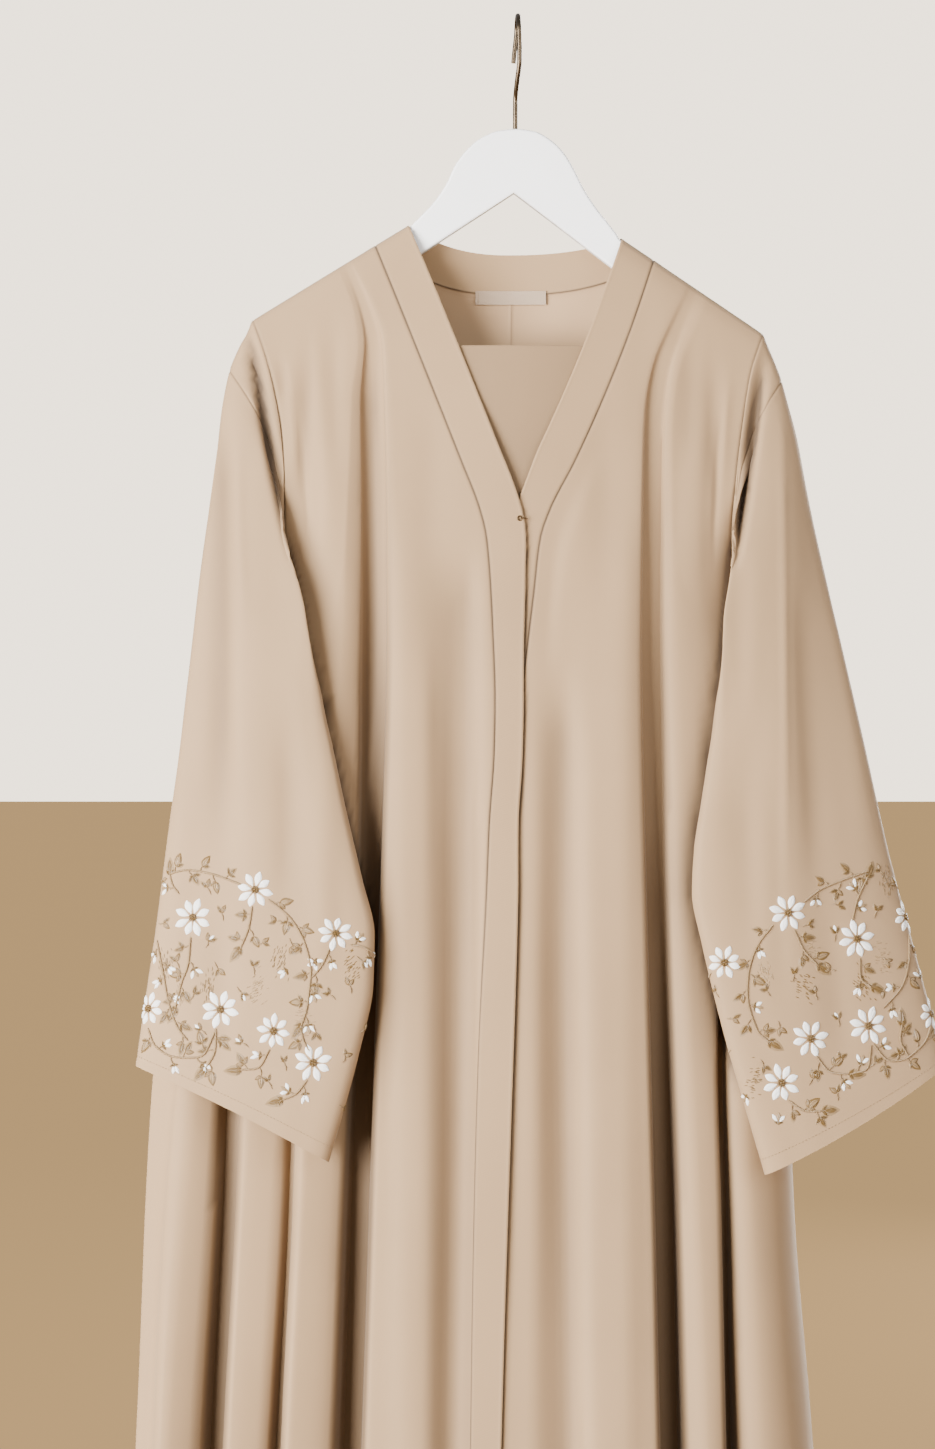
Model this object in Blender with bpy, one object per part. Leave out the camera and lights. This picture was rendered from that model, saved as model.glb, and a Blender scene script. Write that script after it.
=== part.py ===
"""An abaya cloak hung on a hanger. Tables are in millimetres, the objects in metres, +Z is up.

The origin is at the inner top of the hanger's hook. The front faces -Y and +X is to the viewer's
right, so left and right are the viewer's. Every cloth piece is a wall. Its outer face is a grid of
points on the hanging garment, which starts at the shoulder line on the hanger, hangs away from it
as DRAPE says and carries the folds of FOLDS and BACK_FOLDS. Its inner face is that grid moved in
by the wall. Pieces sewn together share the points of their seam, half a gap to each side.
"""

import math

import bpy
import numpy as np

MM = 0.001
LEFT, RIGHT = -1, +1
SIDES = {LEFT: "left", RIGHT: "right"}

CLOTH = 1.5  # wall of one layer of cloth
BAND = 2.4  # wall of the neck bands and plackets, two layers
SEAM = 0.3  # gap between two pieces sewn together
SLEEVE_SEAM = 0.6  # gap between a sleeve and its cap, where the cloth turns sharply
LAP, LAP_START = 3.2, -380.0  # how far the right front lies behind the left placket, and from where
HEM_Z = -1580.0
BAND_WIDTH = 35.0

# Shoulder line of each side, in x and z: where the armhole, the band's seam and its free edge meet it.
SHOULDER = {
    LEFT: dict(tip=(-237.0, -268.0), seam=(-128.0, -201.0), free=(-97.0, -182.0)),
    RIGHT: dict(tip=(218.0, -280.0), seam=(121.0, -214.0), free=(90.0, -193.0)),
}
ROOF_ROUND = 12.0  # rounds the ridge where the two shoulder lines would meet

# Depth of the garment from the hanger's middle plane, by the drop below the shoulder line.
DRAPE = dict(
    drop=(0, 1.5, 5, 14, 40, 120, 250, 400, 700, 1000, 1500),
    front=(0, 5.5, 9, 11.5, 15, 22, 35, 46, 65, 84, 104),
    back=(0, 5.5, 9, 11.5, 16, 29, 36, 42, 57, 72, 88),
)

MIDDLE_X = -10.0
SIDE_SHALLOW = 0.33  # share of that depth lost 290 mm out from the middle, from 100 mm on
SIDE_ROUND = (70.0, 40.0)  # width over which each side rounds to its edge, by the armhole and below

# Rows of the body's grid, as drops below the shoulder tip down to the underarm, where the armhole
# ends, and then as shares of the way from there to the hem.
ROW_DROPS = (0, 1.5, 5, 14, 34, 64, 100, 140, 180, 222, 256, 279, 289)
ROW_SHARES = (0.055, 0.13, 0.23, 0.35, 0.49, 0.65, 0.82, 1.0)
UNDERARM_ROW = len(ROW_DROPS) - 1
UNDERARM_DROP = ROW_DROPS[-1]

# Outer edge of each side: the armhole down to the underarm, then the side seam down to the hem.
EDGE = {
    LEFT: dict(
        z=(-268, -290, -326, -354, -393, -432, -460, -487, -518, -540, -557)
        + (-607, -696, -785, -874, -940, -1104, -1580),
        x=(-237, -228, -218, -212, -208, -207, -207, -210, -219, -230, -243)
        + (-258, -280, -299, -316, -326, -334, -353),
    ),
    RIGHT: dict(
        z=(-280, -316, -364, -412, -460, -500, -530, -552, -569, -651, -785, -918, -1065, -1212, -1580),
        x=(218, 206, 198, 192, 188, 189, 197, 209, 226, 233, 236, 240, 246, 258, 285),
    ),
}
HOLE_DEPTH = 22.0  # of the armhole, to front and to back
LEAST_SHARE = 0.03  # of the armhole's height, above which its depth no longer shrinks

# Seam between the band and the front, down to the V's corner and on as the placket's edge.
BAND_SEAM = {
    LEFT: dict(
        z=(-201, -258, -395, -438, -460, -489, -544, -606, -655, -711, -782, -912, -1109, -1255, -1580),
        x=(-128, -105, -51, -34.5, -29, -26, -23, -21, -22, -26, -29, -36, -41, -43, -47),
    ),
    RIGHT: dict(
        z=(-214, -287, -395, -440, -464, -514, -563, -624, -782, -968, -1255, -1580),
        x=(121, 96, 50, 27, 19, 13, 7, 0, -5, -11, -20, -29),
    ),
}
PLACKET_WIDTH = {
    LEFT: dict(
        z=(-201, -448, -500, -606, -680, -782, -912, -1255, -1580),
        wide=(35, 35.5, 31, 25, 25, 28, 31, 27, 21),
    ),
    RIGHT: dict(
        z=(-214, -395, -440, -480, -563, -655, -782, -1255, -1580),
        wide=(34, 34, 29, 33, 28, 19, 19, 19, 14),
    ),
}

# Folds of each front from the centre outwards: the sharp edge's x down the heights of FOLD_Z (a
# fold that starts at the underarm has the lower ones), the flat floor behind it, the run over
# which the cloth comes forward again, and its depth at the hem. A fold that doesn't rise again
# has rise 0, and the cloth goes on from its floor to the side seam.
FOLD_Z = (-210, -413, -554, -694, -870, -1041, -1255, -1580)
FOLDS = {
    LEFT: (
        dict(x=(-126, -116, -115, -118, -124, -130, -137, -148), start=-215, floor=17, rise=62, deep=62),
        dict(x=(-184, -187, -192, -197, -208, -223), start=-555, floor=5, rise=60, deep=42),
        dict(x=(-208, -224, -240, -248, -259, -273), start=-560, floor=13, rise=60, deep=56),
        dict(x=(-226, -256, -292, -311, -321, -331), start=-565, floor=6, rise=0, deep=42),
    ),
    RIGHT: (
        dict(x=(121, 109, 107, 109, 113, 118, 122, 128), start=-228, floor=17, rise=24, deep=48),
        dict(x=(189, 180, 173, 176, 180, 189), start=-560, floor=6, rise=26, deep=46),
    ),
}
# A shallow trough down each front panel, between the band and the first fold.
DIP = {
    LEFT: dict(z=(-500, -782, -1255, -1580), x=(-55, -55, -60, -66), half=20, deep=9),
    RIGHT: dict(z=(-500, -782, -1255, -1580), x=(39, 38, 43, 48), half=20, deep=9),
}
DIP_START, DIP_RUN = -480.0, 420.0
# Valleys of each back, at a share of the way from the side seam to the centre-back seam.
BACK_FOLDS = {
    LEFT: dict(at=(0.167, 0.375, 0.583, 0.792), half=(0.104, 0.104, 0.104, 0.104), deep=(40, 50, 44, 34)),
    RIGHT: dict(at=(0.208, 0.417, 0.667, 0.875), half=(0.104, 0.104, 0.125, 0.083), deep=(46, 42, 50, 32)),
}
BACK_COLUMNS = 25  # in each back, the middle one at the neck end of the shoulder
BACK_FOLD_START = -430.0
CENTRE_BACK = dict(z=(-201, -1580), x=(-6, -22))
NECK_LOW = {"seam": -243.0, "free": -208.0}  # heights of the neckband's seam and top at the centre back
NECK_SHAPE = 2.5
# Columns of the back neckline, as shares of the way from the shoulder to the centre back.
NECK_SHARES = (0, 0.01, 0.035, 0.09, 0.17, 0.26, 0.36, 0.46, 0.57, 0.68, 0.79, 0.9, 1)

# Sections of each sleeve from the sleeve cap's seam to the cuff. Each is a flattened loop from an
# outer to an inner corner, given in x, z and y, with how far its front and back stand out from the
# line between them and how far they bow towards the body.
SLEEVES = {
    LEFT: (
        dict(outer=(-257, -314, 0), inner=(-247, -566, -10), front=21, back=17, bow=45, back_bow=31),
        dict(outer=(-262, -341, -2), inner=(-247, -572, -36), front=20, back=15, bow=49, back_bow=-8),
        dict(outer=(-272, -411, -6), inner=(-184, -576, -48), front=19, back=5, bow=27, back_bow=0),
        dict(outer=(-282, -491, -14), inner=(-167, -631, -56), front=18, back=6, bow=8, back_bow=6),
        dict(outer=(-291, -576, -22), inner=(-152, -699, -63), front=18, back=7, bow=4, back_bow=4),
        dict(outer=(-301, -664, -31), inner=(-137, -762, -69), front=18, back=8, bow=0, back_bow=0),
        dict(outer=(-310, -739, -40), inner=(-126, -811, -73), front=18, back=9, bow=0, back_bow=0),
        dict(outer=(-318, -804, -47), inner=(-127, -855, -77), front=18, back=11, bow=0, back_bow=0),
        dict(outer=(-326, -861, -54), inner=(-140, -917, -82), front=18, back=13, bow=0, back_bow=0),
        dict(outer=(-335, -926, -60), inner=(-165, -1007, -88), front=18, back=15, bow=4, back_bow=4),
    ),
    RIGHT: (
        dict(outer=(234, -323, 0), inner=(231, -578, -10), front=21, back=17, bow=44, back_bow=30),
        dict(outer=(239, -349, -2), inner=(230, -583, -36), front=20, back=15, bow=48, back_bow=-8),
        dict(outer=(252, -409, -6), inner=(180, -585, -48), front=19, back=5, bow=27, back_bow=0),
        dict(outer=(271, -493, -14), inner=(167, -646, -56), front=18, back=6, bow=8, back_bow=6),
        dict(outer=(289, -578, -22), inner=(159, -694, -63), front=18, back=7, bow=4, back_bow=4),
        dict(outer=(308, -661, -31), inner=(152, -738, -69), front=18, back=8, bow=0, back_bow=0),
        dict(outer=(325, -741, -40), inner=(150, -775, -73), front=18, back=9, bow=0, back_bow=0),
        dict(outer=(340, -801, -47), inner=(159, -822, -77), front=18, back=11, bow=0, back_bow=0),
        dict(outer=(354, -856, -54), inner=(175, -889, -82), front=18, back=13, bow=0, back_bow=0),
        dict(outer=(372, -926, -60), inner=(212, -1018, -88), front=18, back=15, bow=-4, back_bow=-4),
    ),
}

# The straight-topped piece behind the V.
PANEL_TOP, PANEL_FOOT, PANEL_TUCK = -293.0, -470.0, 12.0

PANEL_BEHIND = (3.0, 6.6)  # from the bands' outer face, at its top and below PANEL_BEND
PANEL_BEND, PANEL_BEND_RUN = -330.0, 60.0
PANEL_ROWS, PANEL_COLUMNS = 8, 7
LEAST_HALF = 20.0  # of its width, at the foot of the V

LABEL = dict(x=(-38.0, 25.0), z=(-240.0, -252.0), wall=0.8, columns=6)

# The hanger: its upper outline between the necks, its notch and the height of its arms.
HANGER_TOP = (
    (-92, -182), (-74, -163), (-64, -148), (-56, -131), (-45, -117), (-33, -107), (-17, -100.5), (-2, -99),
    (14, -101), (29, -109), (41, -121), (50, -136), (58, -152), (69, -169), (80, -183), (87, -192),
)
HANGER_NOTCH = (-4, -156)
HANGER_WALL, HANGER_ROUND = 12.0, 5.0  # its thickness and the rounding of its edges
ARM_HEIGHT, ARM_DROP, ARM_SHORT = 30.0, 3.4, 9.0  # height, and clearance under the shoulder and to its tip
# Corners of an arm's rounded end, as x back from its tip and z down from its top edge.
ARM_END = ((-1.5, 10.0), (4.0, 24.0), (16.0, 25.5))
ARM_INNER = 90.0  # where the arms' lower edge turns towards the notch

HOOK_WIRE, HOOK_INNER = 4.4, 12.5  # diameter of the wire and inner radius of its bend
HOOK_TIP = -37.0
# The hook's shank from its bend down to the hanger, as x, y and z.
HOOK_SHANK = (
    (1, -14.7, -28), (1, -14.7, -40), (0.6, -13.9, -45), (-1.4, -7.4, -60), (-2.4, -1.2, -70), (-2.6, 0, -74),
)

CLASP_Z, CLASP_WIRE = -447.0, 0.5
RING = dict(x=0.6, radius=1.9, start=20, end=320, points=11)  # lies on the left band
# The bar through the ring and over the band's edge, as x and how far it stands off the left band.
CLASP_BAR = ((0.9, 1.2), (1.4, 2.4), (3.4, 2.5), (5.6, 2.0), (7.0, -1.0), (7.6, -2.2))

COLOURS = dict(
    cloth=(0.66, 0.53, 0.41), white=(0.86, 0.87, 0.88), metal=(0.30, 0.23, 0.15), label=(0.70, 0.58, 0.46)
)


def through(keys, values, at):
    """A smooth curve through a short table, which never overshoots between two of its points."""
    x = np.asarray(keys, float)
    y = np.asarray(values, float)
    if x[0] > x[-1]:
        x, y = x[::-1], y[::-1]
    step = np.diff(x)
    slope = np.diff(y) / step
    tangent = np.concatenate([slope[:1], np.zeros(len(slope) - 1), slope[-1:]])
    turning = slope[:-1] * slope[1:] > 0
    near, far = slope[:-1][turning], slope[1:][turning]
    heavy = (2 * step[1:] + step[:-1])[turning]
    light = (step[1:] + 2 * step[:-1])[turning]
    tangent[1:-1][turning] = (heavy + light) / (heavy / near + light / far)
    at = np.clip(at, x[0], x[-1])
    i = np.clip(np.searchsorted(x, at) - 1, 0, len(step) - 1)
    t = (at - x[i]) / step[i]
    ends = y[i] * (1 + 2 * t) * (1 - t) ** 2 + y[i + 1] * t * t * (3 - 2 * t)
    return ends + step[i] * (tangent[i] * t * (1 - t) ** 2 - tangent[i + 1] * t * t * (1 - t))


def ease(t):
    t = np.clip(t, 0.0, 1.0)
    return t * t * (3 - 2 * t)


def mix(a, b, t):
    return a + (b - a) * t


def roof(x):
    """Height of the shoulder line over x, with the two lines joined by a round ridge at the neck."""
    lines = []
    for side in SIDES:
        (x0, z0), (x1, z1) = SHOULDER[side]["seam"], SHOULDER[side]["tip"]
        lines.append(z0 + (z1 - z0) / (x1 - x0) * (x - x0))
    half = (lines[0] - lines[1]) / 2
    return (lines[0] + lines[1]) / 2 - np.sqrt(half * half + ROOF_ROUND**2)


def tip_z(side):
    return roof(SHOULDER[side]["tip"][0])


def edge_x(side, z):
    return through(EDGE[side]["z"], EDGE[side]["x"], z)


def hole_depth(side, z):
    """Depth of the armhole's edge at a height, and 0 below the underarm."""
    share = np.clip((tip_z(side) - z) / UNDERARM_DROP, LEAST_SHARE, 1)
    return HOLE_DEPTH * np.sin(np.pi * share) ** 0.3


def hang(side, face, x, z):
    """Depth of the smooth garment at x and z, before its folds: face is "front" or "back"."""
    depth = through(DRAPE["drop"], DRAPE[face], roof(x) - z)
    depth = depth * (1 - SIDE_SHALLOW * ease((np.abs(x - MIDDLE_X) - 100) / 190))
    rim = np.minimum(hole_depth(side, z), depth)
    width = mix(*SIDE_ROUND, ease((tip_z(side) - z - 260) / 120))
    inward = np.clip(np.abs(edge_x(side, z) - x) / width, 0, 1)
    return rim + (np.maximum(depth, rim) - rim) * np.sqrt(1 - (1 - inward) ** 2)


def lapped(z):
    """How far the right front's edge lies behind the left band: nothing above the V, LAP below it."""
    return LAP * ease((LAP_START - z) / 45)


def growth(z, start):
    return np.clip((start - z) / (start - HEM_Z), 0, 1)


def row_z(tip, top):
    """Heights of the rows of a column from its top down, level with the tip's from the underarm."""
    drops = np.array(ROW_DROPS, float)
    upper = mix(top, tip, drops / UNDERARM_DROP) - drops
    lower = mix(upper[-1], HEM_Z, np.array(ROW_SHARES))
    return np.concatenate([upper, lower])


# Columns of a front's grid: those before its first fold, those of each fold and those at its side.
CENTRE_COLUMNS, FOLD_COLUMNS, SIDE_COLUMNS = 5, 6, 4
TOP_SPREAD, UNDERARM_SPREAD = 110.0, (-470.0, 150.0)
FOLD_SHARE = 0.75  # most of the garment's depth that a fold takes


def front_column(side, index, z):
    """x and fold depth of one column of a front at the heights z. Column 0 is the band's seam."""
    folds = FOLDS[side]
    dip = DIP[side]
    inner = through(BAND_SEAM[side]["z"], BAND_SEAM[side]["x"], z)
    outer = edge_x(side, z)
    edges = [through(FOLD_Z[-len(fold["x"]):], fold["x"], z) for fold in folds] + [outer]
    if index < CENTRE_COLUMNS:
        dip_x = through(dip["z"], dip["x"], z)
        shoulder = dip_x + side * dip["half"]
        placed = (inner, mix(inner, dip_x, 0.5), dip_x, shoulder, mix(shoulder, edges[0], 0.55))[index]
        even = mix(inner, edges[0] - side * 5, index / CENTRE_COLUMNS)
        x = mix(even, placed, ease((DIP_START + 40 - z) / 80))
        behind = dip["deep"] * ease((DIP_START - z) / DIP_RUN) * (0, 0.5, 1, 0.1, 0)[index]
        if side == RIGHT:
            behind = np.maximum(behind, lapped(z) * (1, 0.9, 0.1, 0, 0)[index])
        return x, behind
    number, part = divmod(index - CENTRE_COLUMNS, FOLD_COLUMNS)
    if number < len(folds):
        fold = folds[number]
        grown = growth(z, fold["start"])
        room = np.abs(edges[number + 1] - edges[number])
        floor = np.minimum(fold["floor"], 0.3 * room)
        rise = np.minimum(fold["rise"] * grown**0.8 + 4, room - floor - 8)
        if not fold["rise"]:
            rise = 0.35 * (room - floor)
        across = (-5.0, 0.0, 1.6, floor, floor + 0.2 * rise, floor + rise)[part]
        level = ((0, 0.1, 0.94, 1, 0.42, 0) if fold["rise"] else (0, 0.1, 0.94, 1, 1, 1))[part]
        return edges[number] + side * across, fold["deep"] * grown**0.9 * level
    last = CENTRE_COLUMNS + FOLD_COLUMNS * len(folds) - 1
    x, behind = front_column(side, last, z)
    return mix(x, outer, (0.5, 0.9, 0.99, 1.0)[part]), behind


def front_grid(side):
    """Outer face of a front as (rows, columns, 3), from the band's seam to the armhole and side seam."""
    count = CENTRE_COLUMNS + FOLD_COLUMNS * len(FOLDS[side]) + SIDE_COLUMNS
    seam, tip = SHOULDER[side]["seam"], SHOULDER[side]["tip"]
    lowest = tip_z(side)
    seam_z, side_z = row_z(lowest, roof(seam[0])), row_z(lowest, lowest)
    seam_x = through(BAND_SEAM[side]["z"], BAND_SEAM[side]["x"], seam_z)
    side_x = edge_x(side, side_z)
    drops = side_z[0] - side_z
    steady = CENTRE_COLUMNS + FOLD_COLUMNS - 1
    grid = np.zeros((len(drops), count, 3))
    for index in range(count):
        share = index / (count - 1)
        z = row_z(lowest, roof(mix(seam[0], tip[0], share)))
        x, behind = front_column(side, index, z)
        if index > steady:
            start = front_column(side, steady, z)[0]
            even = mix(start, side_x, (index - steady) / (count - 1 - steady))
            x = mix(even, x, ease((UNDERARM_SPREAD[0] - z) / UNDERARM_SPREAD[1]))
        x = mix(mix(seam_x, side_x, share), x, ease(drops / TOP_SPREAD))
        depth = hang(side, "front", x, z)
        grid[:, index] = np.stack([x, np.minimum(behind, FOLD_SHARE * depth) - depth, z], 1)
    return grid


def neck_point(side, share, part):
    """x and z on the back neckline at a share of the way from the shoulder to the centre back."""
    seam = SHOULDER[side]["seam"]
    x, z = (seam[0], roof(seam[0])) if part == "seam" else band_end(side)
    return mix(x, CENTRE_BACK["x"][0], share), mix(z, NECK_LOW[part], 1 - (1 - share) ** NECK_SHAPE)


def band_end(side):
    """x and z of the band's free edge on the shoulder line."""
    x = SHOULDER[side]["seam"][0]
    reach = SHOULDER[side]["free"][0] - x
    rise = roof(x + reach) - roof(x)
    scale = BAND_WIDTH / math.hypot(reach, rise)
    return x + reach * scale, roof(x + reach * scale)


def back_grid(side):
    """Outer face of a back, from the centre-back seam to the armhole and side seam."""
    shoulder = SHOULDER[side]
    level = (tip_z(LEFT) + tip_z(RIGHT)) / 2
    side_z = row_z(tip_z(side), tip_z(side))
    drops = side_z[0] - side_z
    grid = np.zeros((len(drops), BACK_COLUMNS, 3))
    middle = BACK_COLUMNS // 2
    folds = BACK_FOLDS[side]
    for index in range(BACK_COLUMNS):
        share = index / (BACK_COLUMNS - 1)
        if index < middle:
            top_x, top = neck_point(side, NECK_SHARES[middle - index], "seam")
        else:
            top_x = mix(shoulder["seam"][0], shoulder["tip"][0], index / middle - 1)
            top = roof(top_x)
        z = row_z(mix(level, tip_z(side), share), top)
        centre = through(CENTRE_BACK["z"], CENTRE_BACK["x"], z)
        even = mix(centre, edge_x(side, z), share)
        hung = top_x + (edge_x(side, z) - shoulder["tip"][0]) * share**3
        x = mix(hung, even, ease(drops / 180))
        depth = hang(side, "back", x, z)
        behind = 0
        for at, half, deep in zip(folds["at"], folds["half"], folds["deep"]):
            bump = np.clip(1 - abs(1 - share - at) / half, 0, 1)
            behind = behind + deep * np.sin(bump * np.pi / 2) ** 2
        behind = behind * growth(z, BACK_FOLD_START) ** 0.8
        grid[:, index] = np.stack([x, depth - np.minimum(behind, FOLD_SHARE * depth), z], 1)
    return grid


def band_grid(side, seam):
    """Outer face of a band and its placket, three columns from the seam with the front to the free edge."""
    x, z = seam[:, 0], seam[:, 2]
    along = np.gradient(seam[:, [0, 2]], axis=0)
    along /= np.linalg.norm(along, axis=1)[:, None]
    square = np.stack([along[:, 1] * side, -along[:, 0] * side], 1)
    end = np.array(band_end(side)) - (x[0], z[0])
    end /= np.linalg.norm(end)
    turned = ease((z[0] - z - 6) / 70.0)[:, None]
    across = mix(end[None], square, turned)
    across /= np.linalg.norm(across, axis=1)[:, None]
    width = through(PLACKET_WIDTH[side]["z"], PLACKET_WIDTH[side]["wide"], z)
    grid = np.zeros((len(x), 3, 3))
    for index, share in enumerate((0.0, 0.5, 1.0)):
        px = x + across[:, 0] * width * share
        pz = z + across[:, 1] * width * share
        depth = hang(side, "front", px, pz)
        behind = lapped(pz) if side == RIGHT else 0
        grid[:, index] = np.stack([px, behind - depth, pz], 1)
    return grid


def sleeve_grid(side, front, back):
    """Outer face of the sleeve cap and sleeve: loops from the armhole to the cuff, from the shoulder's
    tip down the front to the underarm and up the back. The first loop is the armhole of the panels."""
    last = UNDERARM_ROW
    share = np.array(ROW_DROPS, float) / UNDERARM_DROP
    round_ = (2 * np.sqrt(share * (1 - share))) ** 0.8
    belly = 4 * share * (1 - share)
    loops = [np.concatenate([front[: last + 1, -1], back[last - 1 : 0 : -1, -1]])]
    for section in SLEEVES[side]:
        outer = np.array(section["outer"], float)[[0, 2, 1]]
        inner = np.array(section["inner"], float)[[0, 2, 1]]
        line = mix(outer[None], inner[None], share[:, None])
        run = (inner - outer) / math.hypot(inner[0] - outer[0], inner[2] - outer[2])
        toward = np.array([-run[2], 0.0, run[0]]) * -side
        halves = []
        for stand, bow in ((-section["front"], section["bow"]), (section["back"], section["back_bow"])):
            half = line + toward[None] * (bow * belly)[:, None]
            half[:, 1] += stand * round_
            halves.append(half)
        loops.append(np.concatenate([halves[0], halves[1][last - 1 : 0 : -1]]))
    return np.array(loops)


def unit(v):
    return v / np.maximum(np.linalg.norm(v, axis=-1, keepdims=True), 1e-9)


def along(grid, axis, closed):
    """Direction of the grid's lines at each point, halfway between the two steps that meet there."""
    step = unit(np.diff(grid, axis=axis))
    if closed:
        gap = unit(grid.take([0], axis) - grid.take([-1], axis))
        step = np.concatenate([gap, step, gap], axis)
    else:
        step = np.concatenate([step.take([0], axis), step, step.take([-1], axis)], axis)
    count = step.shape[axis]
    return unit(step.take(range(count - 1), axis) + step.take(range(1, count), axis))


def normals(grid, outward, closed=False):
    """Unit normals of a grid, halfway between its faces', most of them on the side of outward."""
    ring = np.concatenate([grid, grid[:, :1]], 1) if closed else grid
    face = unit(np.cross(ring[1:, 1:] - ring[:-1, :-1], ring[1:, :-1] - ring[:-1, 1:]))
    wide = np.pad(face, ((1, 1), (1, 1), (0, 0)), mode="edge")
    if closed:
        wide[:, 0], wide[:, -1] = wide[:, -2], wide[:, 1]
    found = unit(wide[1:, 1:] + wide[:-1, 1:] + wide[1:, :-1] + wide[:-1, :-1])
    found = found[:, :-1] if closed else found
    return found if (found * outward).sum() > 0 else -found


def flat_in_y(vectors):
    """The same directions turned into the plane of a seam that runs through y = 0."""
    return unit(vectors * (1, 0, 1))


# The axis of a grid that each edge ends, and the edge's place and its neighbour's along that axis.
EDGES = dict(first_row=(0, 0, 1), last_row=(0, -1, -2), first_column=(1, 0, 1), last_column=(1, -1, -2))


def parted(grid, normal, edges, closed=False, gap=SEAM):
    """The grid with the named edges moved in by half a seam, square to the seam and to its normals."""
    moved = grid.copy()
    for edge in edges:
        axis, place, neighbour = EDGES[edge]
        line = grid.take(place, axis)
        aside = unit(np.cross(normal.take(place, axis), along(line, 0, closed and axis == 0)))
        if (aside * (grid.take(neighbour, axis) - line)).sum() < 0:
            aside = -aside
        if axis == 0:
            moved[place] += aside * gap / 2
        else:
            moved[:, place] += aside * gap / 2
    return moved


def material(name, colour, rough, metal=0.0):
    made = bpy.data.materials.new(name)
    made.use_nodes = True
    shader = made.node_tree.nodes["Principled BSDF"]
    shader.inputs["Base Color"].default_value = (*colour, 1)
    shader.inputs["Roughness"].default_value = rough
    shader.inputs["Metallic"].default_value = metal
    return made


def put(name, mesh, finish):
    colour, rough, metal = finish
    mesh.materials.append(material(name, colour, rough, metal))
    made = bpy.data.objects.new(name, mesh)
    PARTS.objects.link(made)
    return made


def wall(name, outer, normal, thick, finish, closed=False):
    """A closed wall between a grid and the same grid moved in against its normals."""
    inner = outer - normal * thick
    rows, columns = outer.shape[:2]
    points = np.concatenate([outer.reshape(-1, 3), inner.reshape(-1, 3)]) * MM
    back = rows * columns
    faces = []
    for r in range(rows - 1):
        for c in range(columns if closed else columns - 1):
            a, b = r * columns + c, r * columns + (c + 1) % columns
            faces.append((a, b, b + columns, a + columns))
            faces.append((back + a, back + a + columns, back + b + columns, back + b))
    rims = []
    for r in (0, rows - 1):
        line = [r * columns + c for c in range(columns)]
        rims.append((line + line[:1] if closed else line, r == 0))
    if not closed:
        for c in (0, columns - 1):
            rims.append(([r * columns + c for r in range(rows)], c > 0))
    for line, onward in rims:
        for a, b in zip(line, line[1:]):
            # Both orders are split along the same diagonal, so that two rims face each other along a seam.
            faces.append((a, back + a, back + b, b) if onward else (a, b, back + b, back + a))
    mesh = bpy.data.meshes.new(name)
    mesh.from_pydata(points.tolist(), [], faces)
    corners = points[np.array(faces)]
    middle = np.cross(corners[:, 1] - corners[:, 0], corners[:, 2] - corners[:, 0])
    middle += np.cross(corners[:, 2] - corners[:, 0], corners[:, 3] - corners[:, 0])
    if (corners[:, 0] * middle).sum() < 0:
        mesh.flip_normals()
    mesh.shade_smooth()
    mesh.set_sharp_from_angle(angle=math.radians(40))
    return put(name, mesh, finish)


def tube(name, points, radius, finish):
    """A wire along the points, which are in millimetres."""
    curve = bpy.data.curves.new(name, "CURVE")
    curve.dimensions = "3D"
    curve.bevel_depth = radius * MM
    curve.bevel_resolution = 2
    curve.use_fill_caps = True
    line = curve.splines.new("POLY")
    line.points.add(len(points) - 1)
    for point, place in zip(line.points, points):
        point.co = (*(value * MM for value in place), 1)
    return put(name, curve, finish)


def arc(centre, radius, start, end, count, x_from=0.0, x_to=0.0):
    """Points on an arc in the Y-Z plane, with angles in degrees from +Y towards +Z."""
    found = []
    for i in range(count):
        share = i / (count - 1)
        angle = math.radians(mix(start, end, share))
        y = centre[0] + radius * math.cos(angle)
        z = centre[1] + radius * math.sin(angle)
        found.append((mix(x_from, x_to, share), y, z))
    return found


FABRIC = (COLOURS["cloth"], 0.75, 0.0)
WHITE = (COLOURS["white"], 0.35, 0.0)
METAL = (COLOURS["metal"], 0.3, 1.0)
WOVEN = (COLOURS["label"], 0.7, 0.0)
FORWARD, BACKWARD = np.array([0.0, -1.0, 0.0]), np.array([0.0, 1.0, 0.0])


def make_body(side):
    """One side's front, back, band, sleeve cap and sleeve. Returns the back's grid and the band's."""
    name = SIDES[side]
    front = front_grid(side)
    back = back_grid(side)
    out = {}
    for face, grid, hint in (("front", front, FORWARD), ("back", back, BACKWARD)):
        normal = normals(grid, hint)
        normal[0] = flat_in_y(normal[0]) if face == "front" else normal[0]
        if face == "back":
            normal[0, BACK_COLUMNS // 2 :] = flat_in_y(normal[0, BACK_COLUMNS // 2 :])
            normal[:, 0] = unit(normal[:, 0] * (0, 1, 1))
        normal[UNDERARM_ROW:, -1] = flat_in_y(normal[UNDERARM_ROW:, -1])
        out[face] = normal
        edges = ("first_row", "first_column", "last_column")
        wall(f"{face}_{name}", parted(grid, normal, edges), normal, CLOTH, FABRIC)
    band = band_grid(side, front[:, 0])
    normal = normals(band, FORWARD)
    normal[0] = flat_in_y(normal[0])
    normal[:, 0] = out["front"][:, 0]
    wall(f"band_{name}", parted(band, normal, ("first_row", "first_column")), normal, BAND, FABRIC)
    make_sleeve(side, front, back, out)
    return back, out["back"], band


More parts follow.
